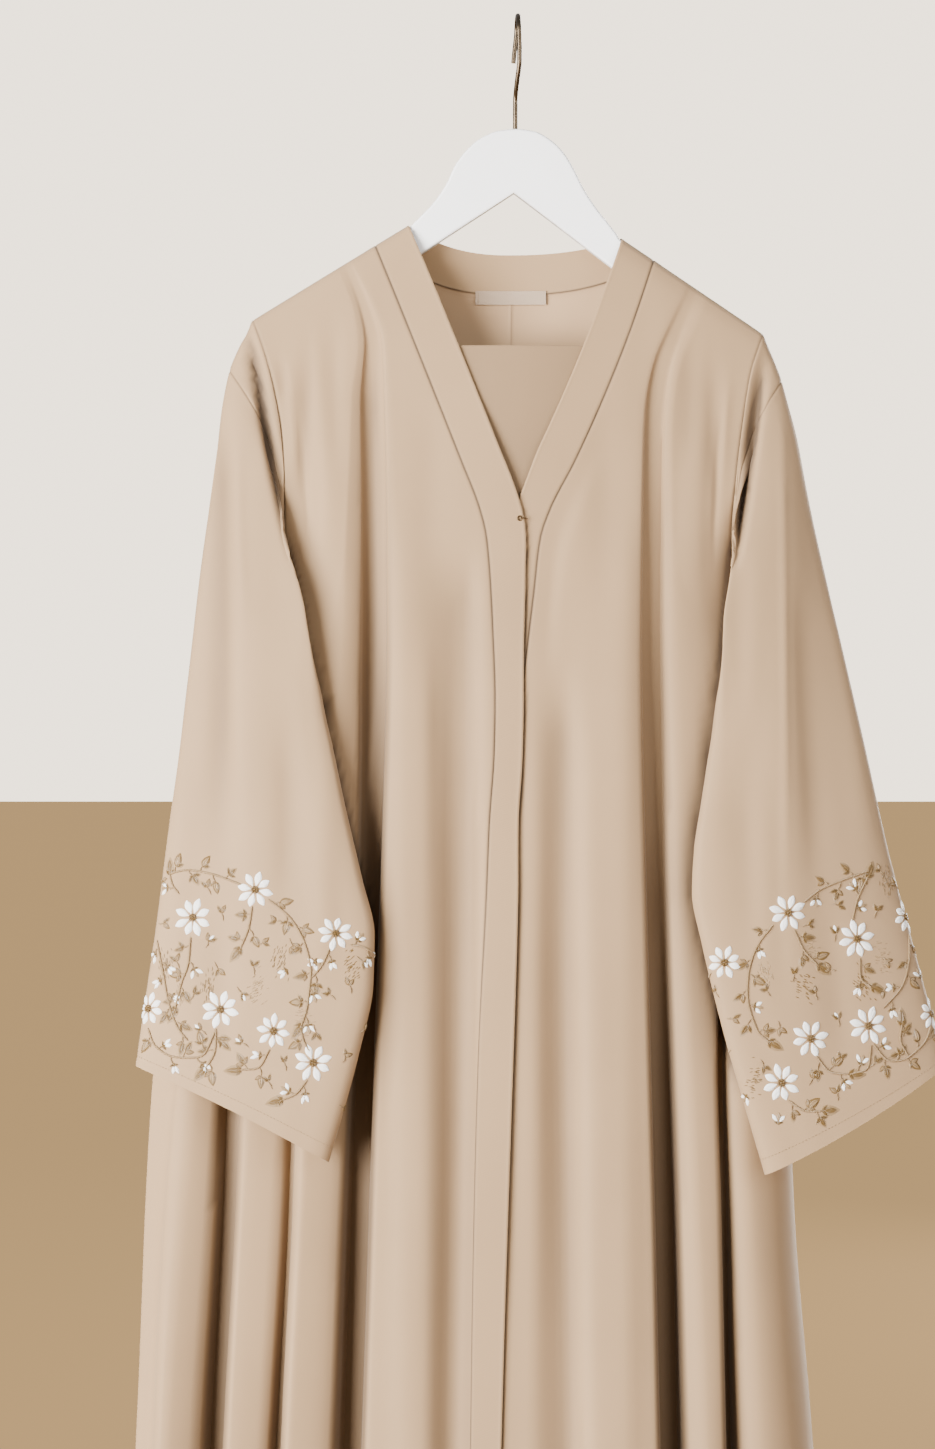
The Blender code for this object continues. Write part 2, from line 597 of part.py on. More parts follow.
def make_sleeve(side, front, back, body_normals):
    name = SIDES[side]
    last = UNDERARM_ROW
    grid = sleeve_grid(side, front, back)
    centre = grid.mean(axis=1, keepdims=True)
    normal = normals(grid, grid - centre, closed=True)
    normal = unit(normal + np.roll(normal, 1, axis=1) + np.roll(normal, -1, axis=1))
    front_edge, back_edge = body_normals["front"][: last + 1, -1], body_normals["back"][last - 1 : 0 : -1, -1]
    shared = np.concatenate([front_edge, back_edge])
    under = unit(normal[0, last] + shared[last])
    normal[0] = shared
    normal[0, last] = under
    cap = parted(grid[:2], normal[:2], ("first_row",), closed=True)
    cap = parted(cap, normal[:2], ("last_row",), closed=True, gap=SLEEVE_SEAM)
    wall(f"sleeve_cap_{name}", cap, normal[:2], CLOTH, FABRIC, closed=True)
    sleeve = parted(grid[1:], normal[1:], ("first_row",), closed=True, gap=SLEEVE_SEAM)
    wall(f"sleeve_{name}", sleeve, normal[1:], CLOTH, FABRIC, closed=True)


def make_neckband(backs, back_normals):
    """The standing band of the back neck, on the neck seam of both backs."""
    middle = BACK_COLUMNS // 2
    lower, upper, normal_low = [], [], []
    for side in SIDES:
        order = range(middle, -1, -1) if side == LEFT else range(1, middle + 1)
        for index in order:
            lower.append(backs[side][0, index])
            normal_low.append(back_normals[side][0, index])
            x, z = neck_point(side, NECK_SHARES[middle - index], "free")
            upper.append((x, float(hang(side, "back", np.array(x), np.array(z))), z))
    lower, upper = np.array(lower), np.array(upper)
    grid = np.array([lower, mix(lower, upper, 0.5), upper])
    normal = normals(grid, BACKWARD)
    normal[0] = np.array(normal_low)
    normal[:, 0] = flat_in_y(normal[:, 0])
    normal[:, -1] = flat_in_y(normal[:, -1])
    edges = ("first_row", "first_column", "last_column")
    wall("neckband_back", parted(grid, normal, edges), normal, BAND, FABRIC)


def make_inner_panel(bands):
    """The piece behind the V, tucked under both bands."""
    heights = np.linspace(PANEL_TOP, PANEL_FOOT, PANEL_ROWS)
    ends = []
    for side in SIDES:
        free = bands[side][:, 2]
        reach = np.interp(-heights, -free[:, 2], free[:, 0]) * side + PANEL_TUCK
        ends.append(np.maximum(reach, LEAST_HALF) * side)
    grid = np.zeros((PANEL_ROWS, PANEL_COLUMNS, 3))
    behind = mix(*PANEL_BEHIND, ease((PANEL_BEND - heights) / PANEL_BEND_RUN))
    for index in range(PANEL_COLUMNS):
        x = mix(ends[0], ends[1], index / (PANEL_COLUMNS - 1))
        depth = hang(LEFT, "front", x, heights)
        grid[:, index] = np.stack([x, behind - depth, heights], 1)
    wall("inner_panel", grid, normals(grid, FORWARD), CLOTH, FABRIC)


def make_label():
    """A blank woven label on the inner face of the back, just under the neckband."""
    columns = LABEL["columns"]
    grid = np.zeros((2, columns, 3))
    for index in range(columns):
        x = mix(*LABEL["x"], index / (columns - 1))
        for row, z in enumerate(LABEL["z"]):
            depth = float(hang(LEFT, "back", np.array(x), np.array(z)))
            grid[row, index] = (x, depth - BAND - 2 * SEAM - LABEL["wall"], z)
    wall("label", grid, normals(grid, FORWARD), LABEL["wall"], WOVEN)


def arm_outline(side):
    """Points of one arm of the hanger, from its neck along the top to its end and back below."""
    seam_x, tip_x = SHOULDER[side]["seam"][0], SHOULDER[side]["tip"][0] - side * ARM_SHORT
    neck_x = band_end(side)[0] - 2 * side
    top = [(x, float(roof(x)) - ARM_DROP) for x in (neck_x, *np.linspace(seam_x, tip_x, 4))]
    end = [(tip_x - side * back, top[-1][1] - down) for back, down in ARM_END]
    inner = side * ARM_INNER
    return top + end + [(inner, float(roof(inner)) - ARM_DROP - ARM_HEIGHT)]


def make_hanger():
    """The hanger's body from its outline, and the wire hook that stands on it."""
    outline = list(HANGER_TOP) + arm_outline(RIGHT) + [HANGER_NOTCH] + arm_outline(LEFT)[::-1]
    curve = bpy.data.curves.new("hanger_body", "CURVE")
    curve.dimensions = "2D"
    curve.fill_mode = "BOTH"
    curve.extrude = (HANGER_WALL / 2 - HANGER_ROUND) * MM
    curve.bevel_depth = HANGER_ROUND * MM
    curve.bevel_resolution = 2
    curve.offset = -HANGER_ROUND * MM
    line = curve.splines.new("POLY")
    line.points.add(len(outline) - 1)
    for point, (x, z) in zip(line.points, outline):
        point.co = (x * MM, z * MM, 0, 1)
    line.use_cyclic_u = True
    body = put("hanger_body", curve, WHITE)
    body.rotation_euler = (math.pi / 2, 0, 0)
    radius = HOOK_INNER + HOOK_WIRE / 2
    path = [(-4, radius, HOOK_TIP), (-3.2, radius, -28)]
    path += arc((0.0, -HOOK_INNER), radius, 0, 180, 13, -1.5, 0.5)
    path += [*HOOK_SHANK, (HOOK_SHANK[-1][0], 0, max(z for _, z in HANGER_TOP) + SEAM)]
    tube("hanger_hook", path, HOOK_WIRE / 2, METAL)


def make_clasp():
    """The bar and ring that hold the fronts together at the foot of the V."""
    face = float(hang(LEFT, "front", np.array(RING["x"]), np.array(CLASP_Z)))
    lift = CLASP_WIRE + SEAM
    ring = []
    for i in range(RING["points"]):
        angle = math.radians(mix(RING["start"], RING["end"], i / (RING["points"] - 1)))
        x = RING["x"] + RING["radius"] * math.cos(angle)
        ring.append((x, -face - lift, CLASP_Z + RING["radius"] * math.sin(angle)))
    tube("clasp_eye", ring, CLASP_WIRE, METAL)
    bar = [(x, -face - out, CLASP_Z) for x, out in CLASP_BAR]
    tube("clasp_hook", bar, CLASP_WIRE, METAL)


for old in list(bpy.data.objects):
    bpy.data.objects.remove(old)
PARTS = bpy.data.collections.new("abaya_cloak")
bpy.context.scene.collection.children.link(PARTS)
grids, normal_grids, bands = {}, {}, {}
for each in SIDES:
    grids[each], normal_grids[each], bands[each] = make_body(each)
make_neckband(grids, normal_grids)
make_inner_panel(bands)
make_label()
make_hanger()
make_clasp()
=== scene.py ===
"""The look of an abaya cloak on its hanger, in the frame of its CAD model.

Fine shells of cloth replace the plain solids on the same form, with seams, creases, hems and
embroidered cuffs. Tables are in millimetres, objects in metres. Left and right are the viewer's.
"""

import math

import bpy
import numpy as np
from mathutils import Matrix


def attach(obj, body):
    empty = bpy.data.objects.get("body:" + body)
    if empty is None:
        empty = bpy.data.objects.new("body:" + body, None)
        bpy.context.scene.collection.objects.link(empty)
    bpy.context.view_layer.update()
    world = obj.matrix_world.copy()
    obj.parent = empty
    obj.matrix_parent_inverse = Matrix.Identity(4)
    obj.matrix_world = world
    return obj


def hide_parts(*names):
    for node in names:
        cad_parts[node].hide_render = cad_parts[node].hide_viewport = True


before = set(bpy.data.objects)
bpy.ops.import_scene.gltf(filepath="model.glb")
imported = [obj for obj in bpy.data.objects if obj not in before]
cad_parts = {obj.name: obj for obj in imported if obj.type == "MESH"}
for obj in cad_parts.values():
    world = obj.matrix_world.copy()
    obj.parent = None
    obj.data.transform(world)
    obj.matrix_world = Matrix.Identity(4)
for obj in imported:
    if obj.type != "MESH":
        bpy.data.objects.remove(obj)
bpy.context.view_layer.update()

MM = 0.001
LEFT, RIGHT = -1, +1
SIDES = {LEFT: "left", RIGHT: "right"}
FORWARD, BACKWARD = np.array([0.0, -1.0, 0.0]), np.array([0.0, 1.0, 0.0])

# ---- the form of the garment, as in part.py ----

BAND = 2.4  # wall of the neck bands and plackets, two layers
SEAM = 0.3  # gap between two pieces sewn together
LAP, LAP_START, LAP_RUN = 3.2, -380.0, 45.0  # how far the right front lies behind the left placket
HEM_Z = -1580.0
BAND_WIDTH = 35.0
BAND_TURN, BAND_TURN_RUN = 6.0, 70.0  # where the band turns from the shoulder line to its own way

# Shoulder line of each side, in x and z: where the armhole, the band's seam and its free edge meet it.
SHOULDER = {
    LEFT: dict(tip=(-237.0, -268.0), seam=(-128.0, -201.0), free=(-97.0, -182.0)),
    RIGHT: dict(tip=(218.0, -280.0), seam=(121.0, -214.0), free=(90.0, -193.0)),
}
ROOF_ROUND = 12.0  # rounds the ridge where the two shoulder lines would meet

# Depth of the garment from the hanger's middle plane, by the drop below the shoulder line.
DRAPE = dict(
    drop=(0, 1.5, 5, 14, 40, 120, 250, 400, 700, 1000, 1500),
    front=(0, 5.5, 9, 11.5, 15, 22, 35, 46, 65, 84, 104),
    back=(0, 5.5, 9, 11.5, 16, 29, 36, 42, 57, 72, 88),
)
MIDDLE_X = -10.0
SIDE_SHALLOW = 0.33  # share of that depth lost far out from the middle
SHALLOW_START, SHALLOW_RUN = 100.0, 190.0
SIDE_ROUND = (70.0, 40.0)  # width over which each side rounds to its edge, by the armhole and below
SIDE_ROUND_START, SIDE_ROUND_RUN = 260.0, 120.0  # drop below the shoulder's tip where it changes

# Rows of the body's grid, as drops below the shoulder tip down to the underarm, where the armhole
# ends, and then as shares of the way from there to the hem.
ROW_DROPS = (0, 1.5, 5, 14, 34, 64, 100, 140, 180, 222, 256, 279, 289)
ROW_SHARES = (0.055, 0.13, 0.23, 0.35, 0.49, 0.65, 0.82, 1.0)
UNDERARM_ROW = len(ROW_DROPS) - 1
UNDERARM_DROP = ROW_DROPS[-1]

# Outer edge of each side: the armhole down to the underarm, then the side seam down to the hem.
EDGE = {
    LEFT: dict(
        z=(-268, -290, -326, -354, -393, -432, -460, -487, -518, -540, -557)
        + (-607, -696, -785, -874, -940, -1104, -1580),
        x=(-237, -228, -218, -212, -208, -207, -207, -210, -219, -230, -243)
        + (-258, -280, -299, -316, -326, -334, -353),
    ),
    RIGHT: dict(
        z=(-280, -316, -364, -412, -460, -500, -530, -552, -569, -651, -785, -918, -1065, -1212, -1580),
        x=(218, 206, 198, 192, 188, 189, 197, 209, 226, 233, 236, 240, 246, 258, 285),
    ),
}
HOLE_DEPTH, HOLE_SHAPE = 22.0, 0.3  # of the armhole, to front and to back
LEAST_SHARE = 0.03  # of the armhole's height, above which its depth no longer shrinks

# Seam between the band and the front, down to the V's corner and on as the placket's edge.
BAND_SEAM = {
    LEFT: dict(
        z=(-201, -258, -395, -438, -460, -489, -544, -606, -655, -711, -782, -912, -1109, -1255, -1580),
        x=(-128, -105, -51, -34.5, -29, -26, -23, -21, -22, -26, -29, -36, -41, -43, -47),
    ),
    RIGHT: dict(
        z=(-214, -287, -395, -440, -464, -514, -563, -624, -782, -968, -1255, -1580),
        x=(121, 96, 50, 27, 19, 13, 7, 0, -5, -11, -20, -29),
    ),
}
PLACKET_WIDTH = {
    LEFT: dict(
        z=(-201, -448, -500, -606, -680, -782, -912, -1255, -1580),
        wide=(35, 35.5, 31, 25, 25, 28, 31, 27, 21),
    ),
    RIGHT: dict(
        z=(-214, -395, -440, -480, -563, -655, -782, -1255, -1580),
        wide=(34, 34, 29, 33, 28, 19, 19, 19, 14),
    ),
}

# Folds of each front from the centre outwards: the sharp edge's x down the heights of FOLD_Z (a
# fold that starts at the underarm has the lower ones), the flat floor behind it, the run over
# which the cloth comes forward again, and its depth at the hem. A fold that doesn't rise again
# has rise 0, and the cloth goes on from its floor to the side seam.
FOLD_Z = (-210, -413, -554, -694, -870, -1041, -1255, -1580)
FOLDS = {
    LEFT: (
        dict(x=(-126, -116, -115, -118, -124, -130, -137, -148), start=-215, floor=17, rise=62, deep=62),
        dict(x=(-184, -187, -192, -197, -208, -223), start=-555, floor=5, rise=60, deep=42),
        dict(x=(-208, -224, -240, -248, -259, -273), start=-560, floor=13, rise=60, deep=56),
        dict(x=(-226, -256, -292, -311, -321, -331), start=-565, floor=6, rise=0, deep=42),
    ),
    RIGHT: (
        dict(x=(121, 109, 107, 109, 113, 118, 122, 128), start=-228, floor=17, rise=24, deep=48),
        dict(x=(189, 180, 173, 176, 180, 189), start=-560, floor=6, rise=26, deep=46),
    ),
}
# A shallow trough down each front panel, between the band and the first fold.
DIP = {
    LEFT: dict(z=(-500, -782, -1255, -1580), x=(-55, -55, -60, -66), half=20, deep=9),
    RIGHT: dict(z=(-500, -782, -1255, -1580), x=(39, 38, 43, 48), half=20, deep=9),
}
DIP_START, DIP_RUN = -480.0, 420.0

# Columns of a front's grid: those before its first fold, those of each fold and those at its side.
CENTRE_COLUMNS, FOLD_COLUMNS, SIDE_COLUMNS = 5, 6, 4
CENTRE_START, CENTRE_RUN = -440.0, 80.0  # below it the centre columns follow the dip
LAST_CENTRE = 0.55  # share of the way from the dip to the first fold
DIP_LEVELS = (0, 0.5, 1, 0.1, 0)  # shares of the dip's depth and of the lap in the centre columns
LAP_LEVELS = (1, 0.9, 0.1, 0, 0)
FOLD_LIP, FOLD_TURN = 5.0, 1.6  # from a fold's sharp edge to the columns before and after it
FOLD_LEVELS = (0, 0.1, 0.94, 1, 0.42, 0)  # shares of its depth in its columns
LAST_FOLD_LEVELS = (0, 0.1, 0.94, 1, 1, 1)
FLOOR_MOST = 0.3  # most of the room to the next fold that a fold's floor takes
RISE_LEAST, RISE_ROOM = 4.0, 8.0  # shortest run of the rising cloth, and what it leaves before the next fold
FIRST_RISE, LAST_RISE = 0.2, 0.35  # shares: where the rise bends first, and of the last fold's room
RISE_GROWTH, FOLD_GROWTH, BACK_GROWTH = 0.8, 0.9, 0.8  # powers by which folds widen and deepen downwards
SIDE_SHARES = (0.5, 0.9, 0.99, 1.0)  # of the way from the last fold to the side seam
# Drops, or a height and a run, over which columns spread evenly above come to their own places.
TOP_SPREAD, UNDERARM_SPREAD, BACK_SPREAD = 110.0, (-470.0, 150.0), 180.0
FOLD_SHARE = 0.75  # most of the garment's depth that a fold takes

# Valleys of each back, at a share of the way from the side seam to the centre-back seam.
BACK_FOLDS = {
    LEFT: dict(at=(0.167, 0.375, 0.583, 0.792), half=(0.104, 0.104, 0.104, 0.104), deep=(40, 50, 44, 34)),
    RIGHT: dict(at=(0.208, 0.417, 0.667, 0.875), half=(0.104, 0.104, 0.125, 0.083), deep=(46, 42, 50, 32)),
}
BACK_COLUMNS = 25  # in each back, the middle one at the neck end of the shoulder
BACK_FOLD_START = -430.0
CENTRE_BACK = dict(z=(-201, -1580), x=(-6, -22))
NECK_LOW = {"seam": -243.0, "free": -208.0}  # heights of the neckband's seam and top at the centre back
NECK_SHAPE = 2.5
# Columns of the back neckline, as shares of the way from the shoulder to the centre back.
NECK_SHARES = (0, 0.01, 0.035, 0.09, 0.17, 0.26, 0.36, 0.46, 0.57, 0.68, 0.79, 0.9, 1)

# Sections of each sleeve from the sleeve cap's seam to the cuff, flattened loops between an outer
# and an inner corner: x and z of both, and how far front and back bow towards the body.
SLEEVES = {
    LEFT: (
        (-257, -314, -247, -566, 45, 31), (-262, -341, -247, -572, 49, -8), (-272, -411, -184, -576, 27, 0),
        (-282, -491, -167, -631, 8, 6), (-291, -576, -152, -699, 4, 4), (-301, -664, -137, -762, 0, 0),
        (-310, -739, -126, -811, 0, 0), (-318, -804, -127, -855, 0, 0), (-326, -861, -140, -917, 0, 0),
        (-335, -926, -165, -1007, 4, 4),
    ),
    RIGHT: (
        (234, -323, 231, -578, 44, 30), (239, -349, 230, -583, 48, -8), (252, -409, 180, -585, 27, 0),
        (271, -493, 167, -646, 8, 6), (289, -578, 159, -694, 4, 4), (308, -661, 152, -738, 0, 0),
        (325, -741, 150, -775, 0, 0), (340, -801, 159, -822, 0, 0), (354, -856, 175, -889, 0, 0),
        (372, -926, 212, -1018, -4, -4),
    ),
}
# In both sleeves: y of both corners, and how far front and back stand out from the line between them.
SLEEVE_DEPTHS = (
    (0, -10, -21, 17), (-2, -36, -20, 15), (-6, -48, -19, 5), (-14, -56, -18, 6), (-22, -63, -18, 7),
    (-31, -69, -18, 8), (-40, -73, -18, 9), (-47, -77, -18, 11), (-54, -82, -18, 13), (-60, -88, -18, 15),
)
SLEEVE_ROUND = 0.8

# The straight-topped piece behind the V.
PANEL_TOP, PANEL_FOOT, PANEL_TUCK = -293.0, -470.0, 12.0
PANEL_BEHIND = (3.0, 6.6)  # from the bands' outer face, at its top and below PANEL_BEND
PANEL_BEND, PANEL_BEND_RUN = -330.0, 60.0
PANEL_ROWS, PANEL_COLUMNS = 8, 7
LEAST_HALF = 20.0  # of its width, at the foot of the V

LABEL = dict(x=(-38.0, 25.0), z=(-240.0, -252.0), wall=0.8)

# The hanger: its upper outline between the necks, its notch and the height of its arms.
HANGER_TOP = (
    (-92, -182), (-74, -163), (-64, -148), (-56, -131), (-45, -117), (-33, -107), (-17, -100.5), (-2, -99),
    (14, -101), (29, -109), (41, -121), (50, -136), (58, -152), (69, -169), (80, -183), (87, -192),
)
HANGER_NOTCH = (-4, -156)
HANGER_WALL, HANGER_EASE = 12.0, 2.2  # its thickness and the rounding of its edges
ARM_HEIGHT, ARM_DROP, ARM_SHORT = 30.0, 3.4, 9.0  # height, and clearance under the shoulder and to its tip
ARM_NECK = 2.0  # from the band's free edge to the start of an arm
# Corners of an arm's rounded end, as x back from its tip and z down from its top edge.
ARM_END = ((-1.5, 10.0), (4.0, 24.0), (16.0, 25.5))
ARM_INNER = 90.0  # where the arms' lower edge turns towards the notch

HOOK_WIRE, HOOK_INNER = 4.4, 12.5  # diameter of the wire and inner radius of its bend
HOOK_END = ((-4, -37.0), (-3.2, -28))  # x and z of its open end, level with the bend's side in y
HOOK_LEAN = (-1.5, 0.5)  # x at both ends of the bend
# The hook's shank from its bend down to the hanger, as x, y and z, and how far it goes in.
HOOK_SHANK = (
    (1, -14.7, -28), (1, -14.7, -40), (0.6, -13.9, -45), (-1.4, -7.4, -60), (-2.4, -1.2, -70), (-2.6, 0, -74),
)
HOOK_DEEP = 2

CLASP_Z, CLASP_WIRE = -447.0, 0.5
RING = dict(x=0.6, radius=1.9, start=20, end=320)  # lies on the left band
NECK_STEP, SHANK_STEP, BAR_STEP = 2.5, 2.0, 0.4  # between the points of the smooth lines
BEND_POINTS, RING_POINTS = 41, 33
# The bar through the ring and over the band's edge, as x and how far it stands off the left band.
CLASP_BAR = ((0.9, 1.2), (1.4, 2.4), (3.4, 2.5), (5.6, 2.0), (7.0, -1.0), (7.6, -2.2))

# ---- fine grids, creases and painted shade ----

# Spacing of the fine grids' points, and the closer ones beside a seam.
ROW_STEP = {"above": 6.5, "below": 11.0}
COLUMN_STEP = {"front": 3.4, "back": 4.6, "band": 3.0, "sleeve": 4.0}
SLEEVE_ROW_STEP, PANEL_STEP = 5.0, (3.0, 3.5)
LABEL_ROWS, LABEL_COLUMNS = 6, 24
NEAR_SEAM = np.array([0.5, 1.2, 2.2, 3.6])
LEAST_STEP = 0.25
EDGES = dict(first_row=(0, 0), last_row=(0, -1), first_column=(1, 0), last_column=(1, -1))  # axis and end
THIN, BAND_THIN, LABEL_THIN = 1.2, 2.2, 0.6  # walls of the fine shells
HEM_WIDE, CUFF_WIDE, HEM_EASE = 20.0, 10.0, 1.5
CUFF_SEWN = CUFF_WIDE - 1  # from the cuff's edge to its stitches

# Profiles across an edge, as height, distance from the edge and half width of each rise or groove.
ROLL = ((-0.55, 0.0, 1.3),)
BAND_LIP = ((0.3, 1.4, 0.9), (-0.35, 0.0, 0.7))
PANEL_LIP = ((0.3, 1.3, 0.9), (-0.3, 0.0, 0.6))
CUFF_GROOVE = ((-0.35, CUFF_SEWN, 1.0),)

# Creases: x and z of both ends, sideways bow, half width to the left and to the right, and height,
# below 0 for a trough. One that ends below the hem runs out through it.
CREASES = {
    "front_left": (
        (-187, -262, -194, -470, 2, 9, 7, -2.6), (-163, -250, -160, -430, -3, 12, 9, -1.8),
        (-172, -300, -170, -520, 2, 9, 14, 2.4), (-206, -300, -196, -420, 3, 5, 5, 1.4),
        (-201, -318, -184, -505, 3, 3.2, 3.2, -1.5), (-212, -300, -206, -345, 0, 4, 4, -1.8),
        (-127, -262, -130, -760, 0, 18, 5, -5.0), (-102, -420, -98, -2300, 2, 12, 26, 4.0),
        (-45, -455, -46, -2400, 0, 30, 8, -7.0), (-80, -540, -80, -2400, 0, 12, 4, 1.6),
        (-80, -300, -84, -520, 4, 16, 16, -1.4), (-160, -520, -172, -900, 4, 14, 14, 1.6),
    ),
    "front_right": (
        (172, -275, 178, -440, -3, 8, 10, -2.4), (150, -262, 148, -420, 3, 10, 12, -1.8),
        (160, -320, 158, -560, -2, 14, 9, 2.2), (188, -310, 181, -430, -3, 5, 5, 1.5),
        (183, -322, 172, -500, -2, 3.2, 3.2, -1.5), (128, -380, 134, -760, -3, 9, 14, -2.0),
        (92, -420, 96, -2300, -2, 26, 12, 3.6), (38, -560, 46, -2400, 0, 18, 12, -5.0),
        (75, -330, 80, -560, -4, 16, 16, -1.4), (64, -600, 70, -2300, 0, 10, 16, 2.2),
        (14, -600, 10, -1900, 0, 8, 8, 1.2),
    ),
    "back_left": (
        (-60, -290, -64, -620, 3, 14, 14, -3.0), (-110, -280, -118, -560, -3, 12, 12, -2.6),
        (-168, -270, -182, -520, 4, 11, 11, -2.8), (-200, -320, -198, -480, 2, 6, 6, 1.8),
        (-40, -480, -48, -1180, 3, 16, 16, 2.4), (-150, -560, -168, -1250, -4, 15, 15, -2.4),
        (-230, -640, -262, -1350, 5, 14, 14, 2.4),
    ),
    "back_right": (
        (50, -292, 56, -600, -3, 14, 14, -3.0), (98, -290, 104, -540, 3, 12, 12, -2.5),
        (152, -282, 164, -510, -4, 11, 11, -2.8), (184, -330, 182, -470, -2, 6, 6, 1.8),
        (36, -470, 34, -1200, 3, 16, 16, 2.3), (120, -560, 136, -1260, 4, 15, 15, -2.4),
        (186, -660, 210, -1380, -5, 14, 14, 2.3),
    ),
    "sleeve_front_left": (
        (-252, -300, -226, -860, -3, 16, 30, 5.5), (-266, -330, -262, -800, 3, 14, 12, -4.5),
        (-247, -340, -238, -560, -3, 4, 5, 1.8), (-205, -600, -206, -820, 3, 10, 14, -2.2),
        (-176, -640, -172, -880, 4, 12, 12, 2.2), (-292, -640, -306, -860, 0, 12, 12, 2.0),
        (-248, -248, -198, -500, 0, 3, 7, -7.5), (-268, -760, -262, -960, 3, 18, 14, -2.4),
    ),
    "sleeve_front_right": (
        (223, -280, 188, -505, 0, 8, 3, -10.0), (210, -350, 189, -500, 0, 6, 3, -6.0),
        (231, -300, 231, -900, 0, 26, 22, 6.5), (231, -320, 231, -840, 0, 3.2, 2.6, 1.3),
        (206, -420, 198, -660, 3, 9, 12, 1.6), (246, -480, 262, -800, -3, 8, 14, -1.7),
        (282, -470, 316, -800, -4, 12, 10, 1.5), (196, -640, 205, -860, -4, 14, 12, -2.0),
        (262, -760, 280, -960, 3, 16, 14, -2.2), (218, -640, 226, -900, 2, 10, 10, -1.4),
    ),
    "sleeve_back_left": (
        (-258, -350, -262, -660, 3, 9, 9, -3.0), (-232, -470, -216, -760, -4, 12, 12, 2.6),
        (-190, -620, -186, -880, 4, 12, 12, -2.4), (-290, -600, -306, -880, 2, 10, 10, -2.0),
    ),
    "sleeve_back_right": (
        (238, -350, 250, -660, -3, 9, 9, -3.0), (210, -470, 206, -740, 4, 12, 12, 2.6),
        (186, -620, 196, -860, -4, 12, 12, -2.4), (290, -560, 318, -860, -2, 10, 10, -2.0),
    ),
}
CREASE_IN, CREASE_IN_SHARE, CREASE_OUT = 90.0, 0.4, 0.4  # a crease grows over a length and fades over a share
CAP_HELD = 12.0  # from the armhole over which a sleeve's creases grow
SLEEVE_TURN = 1.5  # columns of the solid's loops over which creases pass from a sleeve's front to its back
DRIFT, DRIFT_WAVES, DRIFT_HELD = 0.35, 7, 60.0  # height of the slow unevenness of hung cloth, and its waves
DRIFT_ACROSS, DRIFT_DOWN, DRIFT_PHASE = (0.05, 0.16), (-0.02, 0.02), (0, 6.28)
DRIFT_RANDOM = {LEFT: 2, RIGHT: 4}
SHARP_ANGLE = math.radians(50)  # above it an edge is shaded sharp
SHIFT_REACH = 35.0  # width over which a front follows its band's seam between the rows of its solid

# Painted shade, from 0 to 1, that darkens the cloth's colour: in grooves of seams, as shadows of edges that
# lie over cloth, and in hollows.
SEAM_SHADE, QUIET_SEAM_SHADE, BACK_SEAM_SHADE, PANEL_SHADE = 1.0, 0.55, 0.35, 0.28
SEAM_REACH, LAP_REACH, PANEL_REACH = 1.0, 1.7, 18.0  # half widths
LAP_SHADE_RUN = 60
# Painted shade beside and under a sleeve: a sharp and a wide part, and their widths.
CONTACT = {LEFT: (0.85, 0.24), RIGHT: (1.0, 0.28)}
CONTACT_REACH = {LEFT: (2.2, 22.0), RIGHT: (5.0, 22.0)}
CONTACT_Z, CONTACT_RUN = (-430.0, -960.0), 60  # its heights
CONTACT_UNDER = 6.0  # how far under the sleeve it stays full
# Most painted shade of a fold's hollow, the trough depth at which a crease's painted shade is full, and the
# half width above which it is thinned.
FOLD_SHADE, PAINTED_SHADE_DEPTH, NARROW = 0.75, 5.0, 7.0
# What counts as a fold's trough, which is painted darker as shade: how near its higher sides are, how much
# higher, and its spread.
HOLLOW_REACH, HOLLOW_LEAST, HOLLOW_RUN, HOLLOW_SPREAD = 45.0, 2.0, 24.0, 4.0
FAR = 1e6

# ---- finishes ----

# Colour that painted shade multiplies into the cloth's own, in folds, seams, laps, beside the sleeves and on
# the inner panel.
PAINTED_SHADE_TINT = (0.19, 0.175, 0.165)
# The inside's colour is a lighter copy of the cloth's: painted light for light that comes through the thin
# cloth.
CLOTH_COLOUR, INSIDE_LIGHTENED_COLOUR = (0.292, 0.189, 0.101), (0.365, 0.236, 0.131)
LABEL_TONES = (0.275, 0.190, 0.118), (0.31, 0.22, 0.142)
PLASTIC_TONES = (0.87, 0.885, 0.91), (0.90, 0.915, 0.94)
HOOK_TONES = (0.05, 0.037, 0.024), (0.10, 0.075, 0.05)
CLASP_TONES = (0.075, 0.052, 0.028), (0.13, 0.09, 0.05)
# Colour, roughness, width of a strand in metres and sheen of each thread.
THREADS = {
    "white_thread": ((0.88, 0.88, 0.87), 0.42, 0.00045, 0.3),
    "gold_thread": ((0.132, 0.074, 0.018), 0.36, 0.0004, 0.05),
    "beige_thread": ((0.245, 0.157, 0.072), 0.45, 0.0005, 0.1),
}
WHITE_THREAD, GOLD_THREAD, BEIGE_THREAD = range(3)
WAVE_BAND = 0.314  # Scale of a wave texture times the width of its bands
CREPE_TONES, THREAD_TONES = (0.965, 1.03), (0.86, 1.04)  # factors of a colour
TWILL_RELIEF, GRAIN_RELIEF = (0.12, 0.0003), (0.22, 0.0004)  # strength, and height in metres
THREAD_HIGH, GRAIN_HIGH = 0.0003, 0.0002

# ---- embroidery ----

